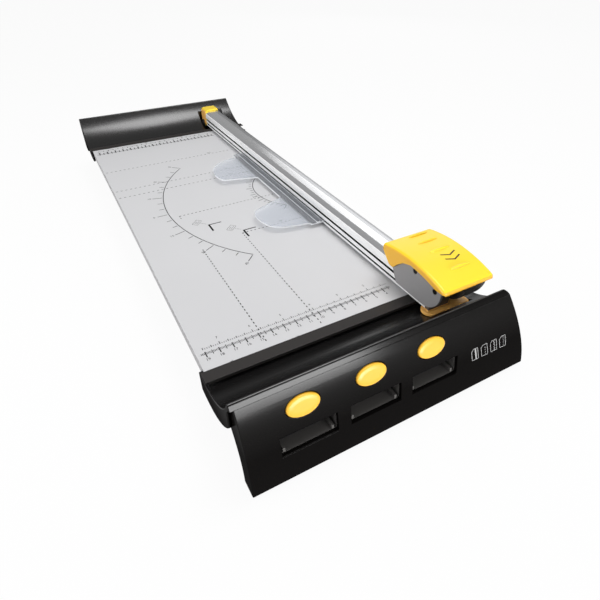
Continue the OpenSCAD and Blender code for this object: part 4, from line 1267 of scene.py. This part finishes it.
@dataclass
class Carriage:
    """Side plate, saddle and the arched press cap with its grips."""

    edge_round: float = 0.5
    plate_segments: int = 3
    cap_box: tuple = box_mm("press_cap")
    arch_r: float = 126.0
    arch_z: float = -88.0
    arch_gap: float = 0.2
    crest: float = 5.5
    shoulder: float = 2.5
    shoulder_segments: int = 5
    corner_gap: float = 0.05
    upright_gap: float = 0.1
    rim_round: float = 0.45
    rim_depth: float = 1.2
    rim_angle: float = 50.0
    side_look: float = 0.62
    grips: tuple = ((77.0, 29.5), (75.2, 16.6), (74.9, 2.5), (75.0, -19.2))
    grip_size: tuple = (9.8, 1.6, 1.5)
    grip_foot: float = -0.3
    mark_x: float = 77.0
    mark_ys: tuple = (-6.5, -12.0)
    mark_arm: tuple = (7.0, 3.0)
    mark_lap: float = 0.4
    mark_line: float = 1.1
    mark_lift: float = 0.06

    def build(self) -> None:
        """Builds and dresses the carriage and its cap."""
        SoftPart("carriage_plate", Finishes.plate, self.edge_round, self.plate_segments).build()
        SoftPart("carriage_body", Finishes.dark, self.edge_round).build()
        self._cap()
        self._mark()

    def _height(self, y: float) -> float:
        """Gives the arch's height at a distance behind the carriage's middle."""
        return PLACE.board_top + self.arch_z + math.sqrt(self.arch_r**2 - (y - self.crest) ** 2)

    def _depths(self, vert: BMVert) -> tuple[float, float]:
        """Gives how deep a point lies in the cap's box, from its nearer side and its nearer end."""
        low, high = self.cap_box
        return min(vert.co.x - low.x, high.x - vert.co.x), min(vert.co.y - low.y, high.y - vert.co.y)

    def _on_shoulder(self, edge: BMEdge) -> bool:
        """Tells whether an edge runs along the arched top or down one of the cap's four outer corners.

        Args:
            edge: The edge.

        Returns:
            True for an edge of the shoulders.
        """
        arch_y, arch_z = PLACE.carriage_y + self.crest, PLACE.board_top + self.arch_z
        inner_r = self.arch_r - self.arch_gap
        on_arch = all(math.hypot(v.co.y - arch_y, v.co.z - arch_z) > inner_r for v in edge.verts)
        outer = all(max(self._depths(vert)) < self.corner_gap for vert in edge.verts)
        upright = (edge.verts[0].co - edge.verts[1].co).xy.length < self.upright_gap
        return corner(edge) and (on_arch or outer and upright)

    def _on_rim(self, edge: BMEdge) -> bool:
        """Tells whether an edge is a sharp corner on the outside of the cap's walls."""
        near_wall = all(min(self._depths(vert)) < self.rim_depth for vert in edge.verts)
        return corner(edge, self.rim_angle) and near_wall

    def _on_wall(self, face: BMFace) -> bool:
        """Tells whether a face of the cap is part of its walls."""
        return face.normal.z < self.side_look

    def _cap(self) -> Object:
        """Builds the cap: wide round shoulders, fine lower rim, four lens-shaped grips and walls in painted
        shade.

        Returns:
            The new object.
        """
        bm = cad_copy("press_cap")
        soften(bm, self.shoulder, self.shoulder_segments, self._on_shoulder)
        soften(bm, self.rim_round, chosen=self._on_rim)
        for x, y in self.grips:
            slope = Matrix.Rotation(-math.asin((y - self.crest) / self.arch_r), 4, "X")
            place = Matrix.Translation((x, PLACE.carriage_y + y, self._height(y)))
            lens = place @ slope @ Matrix.Diagonal((*self.grip_size, 1.0))
            ball = bmesh.ops.create_uvsphere(bm, u_segments=32, v_segments=16, radius=1.0)["verts"]
            for vert in ball:
                vert.co.z = max(vert.co.z, self.grip_foot)
            bmesh.ops.transform(bm, matrix=lens, verts=ball)
        # Painted shade: the cap's walls take the buttons' more orange yellow, darker than the top.
        shaded_walls = (Accent(Finishes.button, self._on_wall),)
        return place_piece("press_cap_shape", bm, Finishes.yellow, "press", ("press_cap",), accents=shaded_walls)

    def _mark(self) -> Object:
        """Prints two chevrons that point down to the user, where the cap is pressed.

        Returns:
            The new object.
        """
        sheet = PrintSheet(line=self.mark_line)
        wide, deep = self.mark_arm
        for y in self.mark_ys:
            for side in (-1, 1):
                sheet.bar((self.mark_x + side * wide, y + deep), (self.mark_x - side * self.mark_lap, y))
        bm = sheet.facing_up(PRINT_CUTS)
        for vert in bm.verts:
            vert.co.z = self._height(vert.co.y) + self.mark_lift
            vert.co.y += PLACE.carriage_y
        return place_piece("press_mark", bm, Finishes.brown_ink, "press")


@dataclass
class PanelIcons:
    """Four small sheet signs on the front panel, one for each cut."""

    face_r: float = 137.4
    face_reach: float = 70.7
    face_z: float = 6.2
    middle_angle: float = 12.6
    places: tuple = (59.8, 69.0, 78.2, 87.4)
    size: tuple = (6.0, 9.8)
    clipped: float = 2.0
    line: float = 0.42
    lean: float = 0.2
    cut_inset: float = 2.2
    straight_line: float = 1.26
    perforation: tuple = (1.2, 0.9)
    crease_dots: tuple = (0.5, 0.7)
    wave_swing: float = 0.6
    wave_step: float = 1.2

    def build(self) -> Object:
        """Builds and dresses the signs.

        Returns:
            The new object.
        """
        sheet = PrintSheet(line=self.line)
        for cut, x in zip(Cut, self.places):
            self._sign(sheet, x, cut)
        bm = sheet.facing_up(PRINT_CUTS)
        reach = self.face_r + PRINT_LIFT
        for vert in bm.verts:
            vert.co.x -= self.lean * vert.co.y
            angle = math.radians(self.middle_angle) + vert.co.y / self.face_r
            vert.co.y = self.face_r - self.face_reach - PLACE.edge_y - reach * math.cos(angle)
            vert.co.z = self.face_z + reach * math.sin(angle)
        return place_piece("panel_signs", bm, Finishes.white_ink, "base")

    def _sign(self, sheet: PrintSheet, x: float, cut: Cut) -> None:
        """Prints one outlined sheet with its own kind of cut along it.

        Args:
            sheet: Sheet that it goes on.
            x: Its middle.
            cut: The kind of cut.
        """
        left, right, top = x - self.size[0] / 2, x + self.size[0] / 2, self.size[1] / 2
        clip = ((left + self.clipped, top), (left, top - self.clipped))
        sheet.outline([Vector(point) for point in ((left, -top), (right, -top), (right, top), *clip)])
        line = right - self.cut_inset
        start, end = (line, -top), (line, top)
        if cut is Cut.STRAIGHT:
            sheet.bar(start, end, self.straight_line)
        elif cut is Cut.PERFORATED:
            sheet.dashes(start, end, *self.perforation, self.line)
        elif cut is Cut.CREASED:
            sheet.dashes(start, end, *self.crease_dots, self.line)
        else:
            turns = [
                Vector((line + self.wave_swing * (-1) ** turn, -top + turn * self.wave_step))
                for turn in range(int(2 * top / self.wave_step) + 1)
            ]
            for first, second in zip(turns, turns[1:]):
                sheet.bar(first, second)


@dataclass
class Springs:
    """Coil springs of the buttons and the press cap."""

    travel: float = 2.5

    def build(self) -> None:
        """Builds and dresses all springs."""
        self._spring("press_springs")
        for number in (1, 2, 3):
            self._spring(f"button_spring_{number}")

    def _spring(self, node: str) -> None:
        """Builds one node's springs.

        Args:
            node: Name of the node.
        """
        bm = cad_copy(node)
        piece = place_piece(f"{node}_shape", bm, Finishes.steel, body_of(node), (node,))
        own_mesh(piece)


@dataclass
class CarriedNodes:
    """CAD nodes that keep their shape and get a finish."""

    cartridges: tuple = ("perforating", "wave", "creasing")

    def build(self) -> None:
        """Dresses the nodes."""
        finishes = {
            "cutting_strip": Finishes.strip,
            "strip_channel": Finishes.steel,
            "storage_tray": Finishes.tray,
            "rubber_feet": Finishes.rubber,
            "cap_screws": Finishes.steel,
            "pivot_bracket": Finishes.bracket,
            "rail_pin": Finishes.steel,
            # Painted shade: the carriage screws are near black to darken their holes.
            "carriage_screws": Finishes.screw,
            "glide_shoes": Finishes.acetal,
            "cutter_holder": Finishes.holder,
            "cutter_axle": Finishes.steel,
            "straight_blade": Finishes.blade,
        }
        for kind in self.cartridges:
            finishes[f"{kind}_holder"] = Finishes.holder
            finishes[f"{kind}_axle"] = Finishes.steel
            finishes[f"{kind}_wheel"] = Finishes.blade
        for node, finish in finishes.items():
            for slot in frame["nodes"][node].material_slots:
                slot.material = finish.material()
            log.info("%s: %s", node, finish.name)


@dataclass(frozen=True)
class Softbox:
    """A rectangular lamp: place, aim, width and depth in metres, power in watts and roll in degrees."""

    name: str
    place: tuple
    aim: tuple
    size: tuple
    power: float
    roll: float = 0.0

    def hang(self) -> None:
        """Hangs the lamp."""
        data = bpy.data.lights.new(self.name, "AREA")
        data.shape = "RECTANGLE"
        data.size, data.size_y = self.size
        data.energy = self.power
        lamp = add_object(self.name, data)
        lamp.location = self.place
        turn = (Vector(self.aim) - Vector(self.place)).to_track_quat("-Z", "Y").to_matrix()
        lamp.rotation_euler = (turn @ Matrix.Rotation(math.radians(self.roll), 3, "Z")).to_euler()


@dataclass
class Studio:
    """Pale floor, soft lamps and the camera, in metres."""

    eye: tuple = (-0.1559, -0.4279, 0.2663)
    forward: tuple = (0.3721, 0.6822, -0.6294)
    right: tuple = (0.8772, -0.4801, -0.0019)
    lens: float = 26.76
    sensor: float = 36.0
    near: float = 0.01
    horizon: float = 0.32
    zenith: float = 0.34
    backdrop: float = 0.96
    floor_half: float = 12.0
    floor_color: Color = (0.86, 0.86, 0.86)
    floor_glow: float = 0.94
    lamps: tuple = (
        Softbox("overhead softbox", (0.19, -0.17, 0.94), (0.0, -0.05, 0.05), (0.46, 0.46), 5.2),
        Softbox("front softbox", (0.30, -1.65, 0.165), (-0.05, -0.25, 0.05), (0.70, 0.30), 15.0),
        Softbox("left softbox", (-1.30, -0.15, 0.50), (0.0, -0.10, 0.05), (0.7, 0.5), 8.5),
        Softbox("rear softbox", (1.22, 1.11, 0.80), (0.06, -0.05, 0.07), (1.3, 0.60), 3.4, -36.0),
    )

    def build(self) -> None:
        """Builds the stage."""
        self._world()
        self._floor()
        for lamp in self.lamps:
            lamp.hang()
        self._camera()

    @staticmethod
    def _seen(graph: Graph) -> NodeSocket:
        """Marks the rays that show the floor itself.

        Args:
            graph: The floor's graph.

        Returns:
            A socket that is 1 for such a ray.
        """
        path = graph.add("ShaderNodeLightPath")
        mirror = graph.math("MAXIMUM", path.outputs["Is Glossy Ray"], path.outputs["Is Transmission Ray"])
        return graph.math("MAXIMUM", path.outputs["Is Camera Ray"], mirror)

    def _world(self) -> None:
        """Sets a grey fill that grows brighter towards the top, behind a pale backdrop."""
        world = bpy.data.worlds.new("studio")
        world.use_nodes = True
        bpy.context.scene.world = world
        graph = Graph(world.node_tree)
        level = graph.add("ShaderNodeMapRange", {"To Min": self.horizon, "To Max": self.zenith})
        place = graph.add("ShaderNodeTexCoord").outputs["Generated"]
        graph.link(graph.height(place), level.inputs["Value"])
        fill = graph.add("ShaderNodeBackground", {"Color": WHITE})
        path = graph.add("ShaderNodeLightPath")
        shown = graph.math("MULTIPLY", path.outputs["Is Camera Ray"], self.backdrop)
        graph.link(graph.math("MAXIMUM", level.outputs["Result"], shown), fill.inputs["Strength"])
        result = graph.add("ShaderNodeOutputWorld")
        graph.link(fill.outputs[0], result.inputs["Surface"])

    def _floor(self) -> None:
        """Lays a white floor that keeps a faint shadow."""
        bm = bmesh.new()
        bmesh.ops.create_grid(bm, x_segments=1, y_segments=1, size=self.floor_half)
        mesh = mesh_from("floor", bm)
        floor = add_object("floor", mesh)
        material = bpy.data.materials.new("studio floor")
        material.use_nodes = True
        graph = Graph(material.node_tree)
        matt = graph.add("ShaderNodeBsdfDiffuse", {"Color": opaque(self.floor_color)})
        glow = graph.add("ShaderNodeEmission", {"Color": WHITE, "Strength": 1.0})
        mix = graph.add("ShaderNodeMixShader")
        result = graph.add("ShaderNodeOutputMaterial")
        graph.link(graph.math("MULTIPLY", self._seen(graph), self.floor_glow), mix.inputs[0])
        graph.link(matt.outputs[0], mix.inputs[1])
        graph.link(glow.outputs[0], mix.inputs[2])
        graph.link(mix.outputs[0], result.inputs["Surface"])
        mesh.materials.append(material)

    def _camera(self) -> None:
        """Sets the camera at the photograph's place."""
        data = bpy.data.cameras.new("camera")
        data.sensor_width = self.sensor
        data.lens = self.lens
        data.clip_start = self.near
        forward, right = Vector(self.forward).normalized(), Vector(self.right).normalized()
        up = right.cross(forward)
        turn = Matrix((right, up, -forward)).transposed()
        camera = add_object("camera", data)
        camera.matrix_world = Matrix.Translation(self.eye) @ turn.to_4x4()
        bpy.context.scene.camera = camera


def main() -> None:
    """Builds every sub-assembly and the stage."""
    logging.basicConfig(level=logging.INFO, format="%(message)s")
    Housing().build()
    BoardPrint().build()
    for number in (1, 2, 3):
        EjectButton(number).build()
    RailUnit().build()
    Carriage().build()
    PanelIcons().build()
    Springs().build()
    CarriedNodes().build()
    Studio().build()
    bpy.context.scene.view_settings.view_transform = "Standard"


if __name__ == "__main__":
    main()
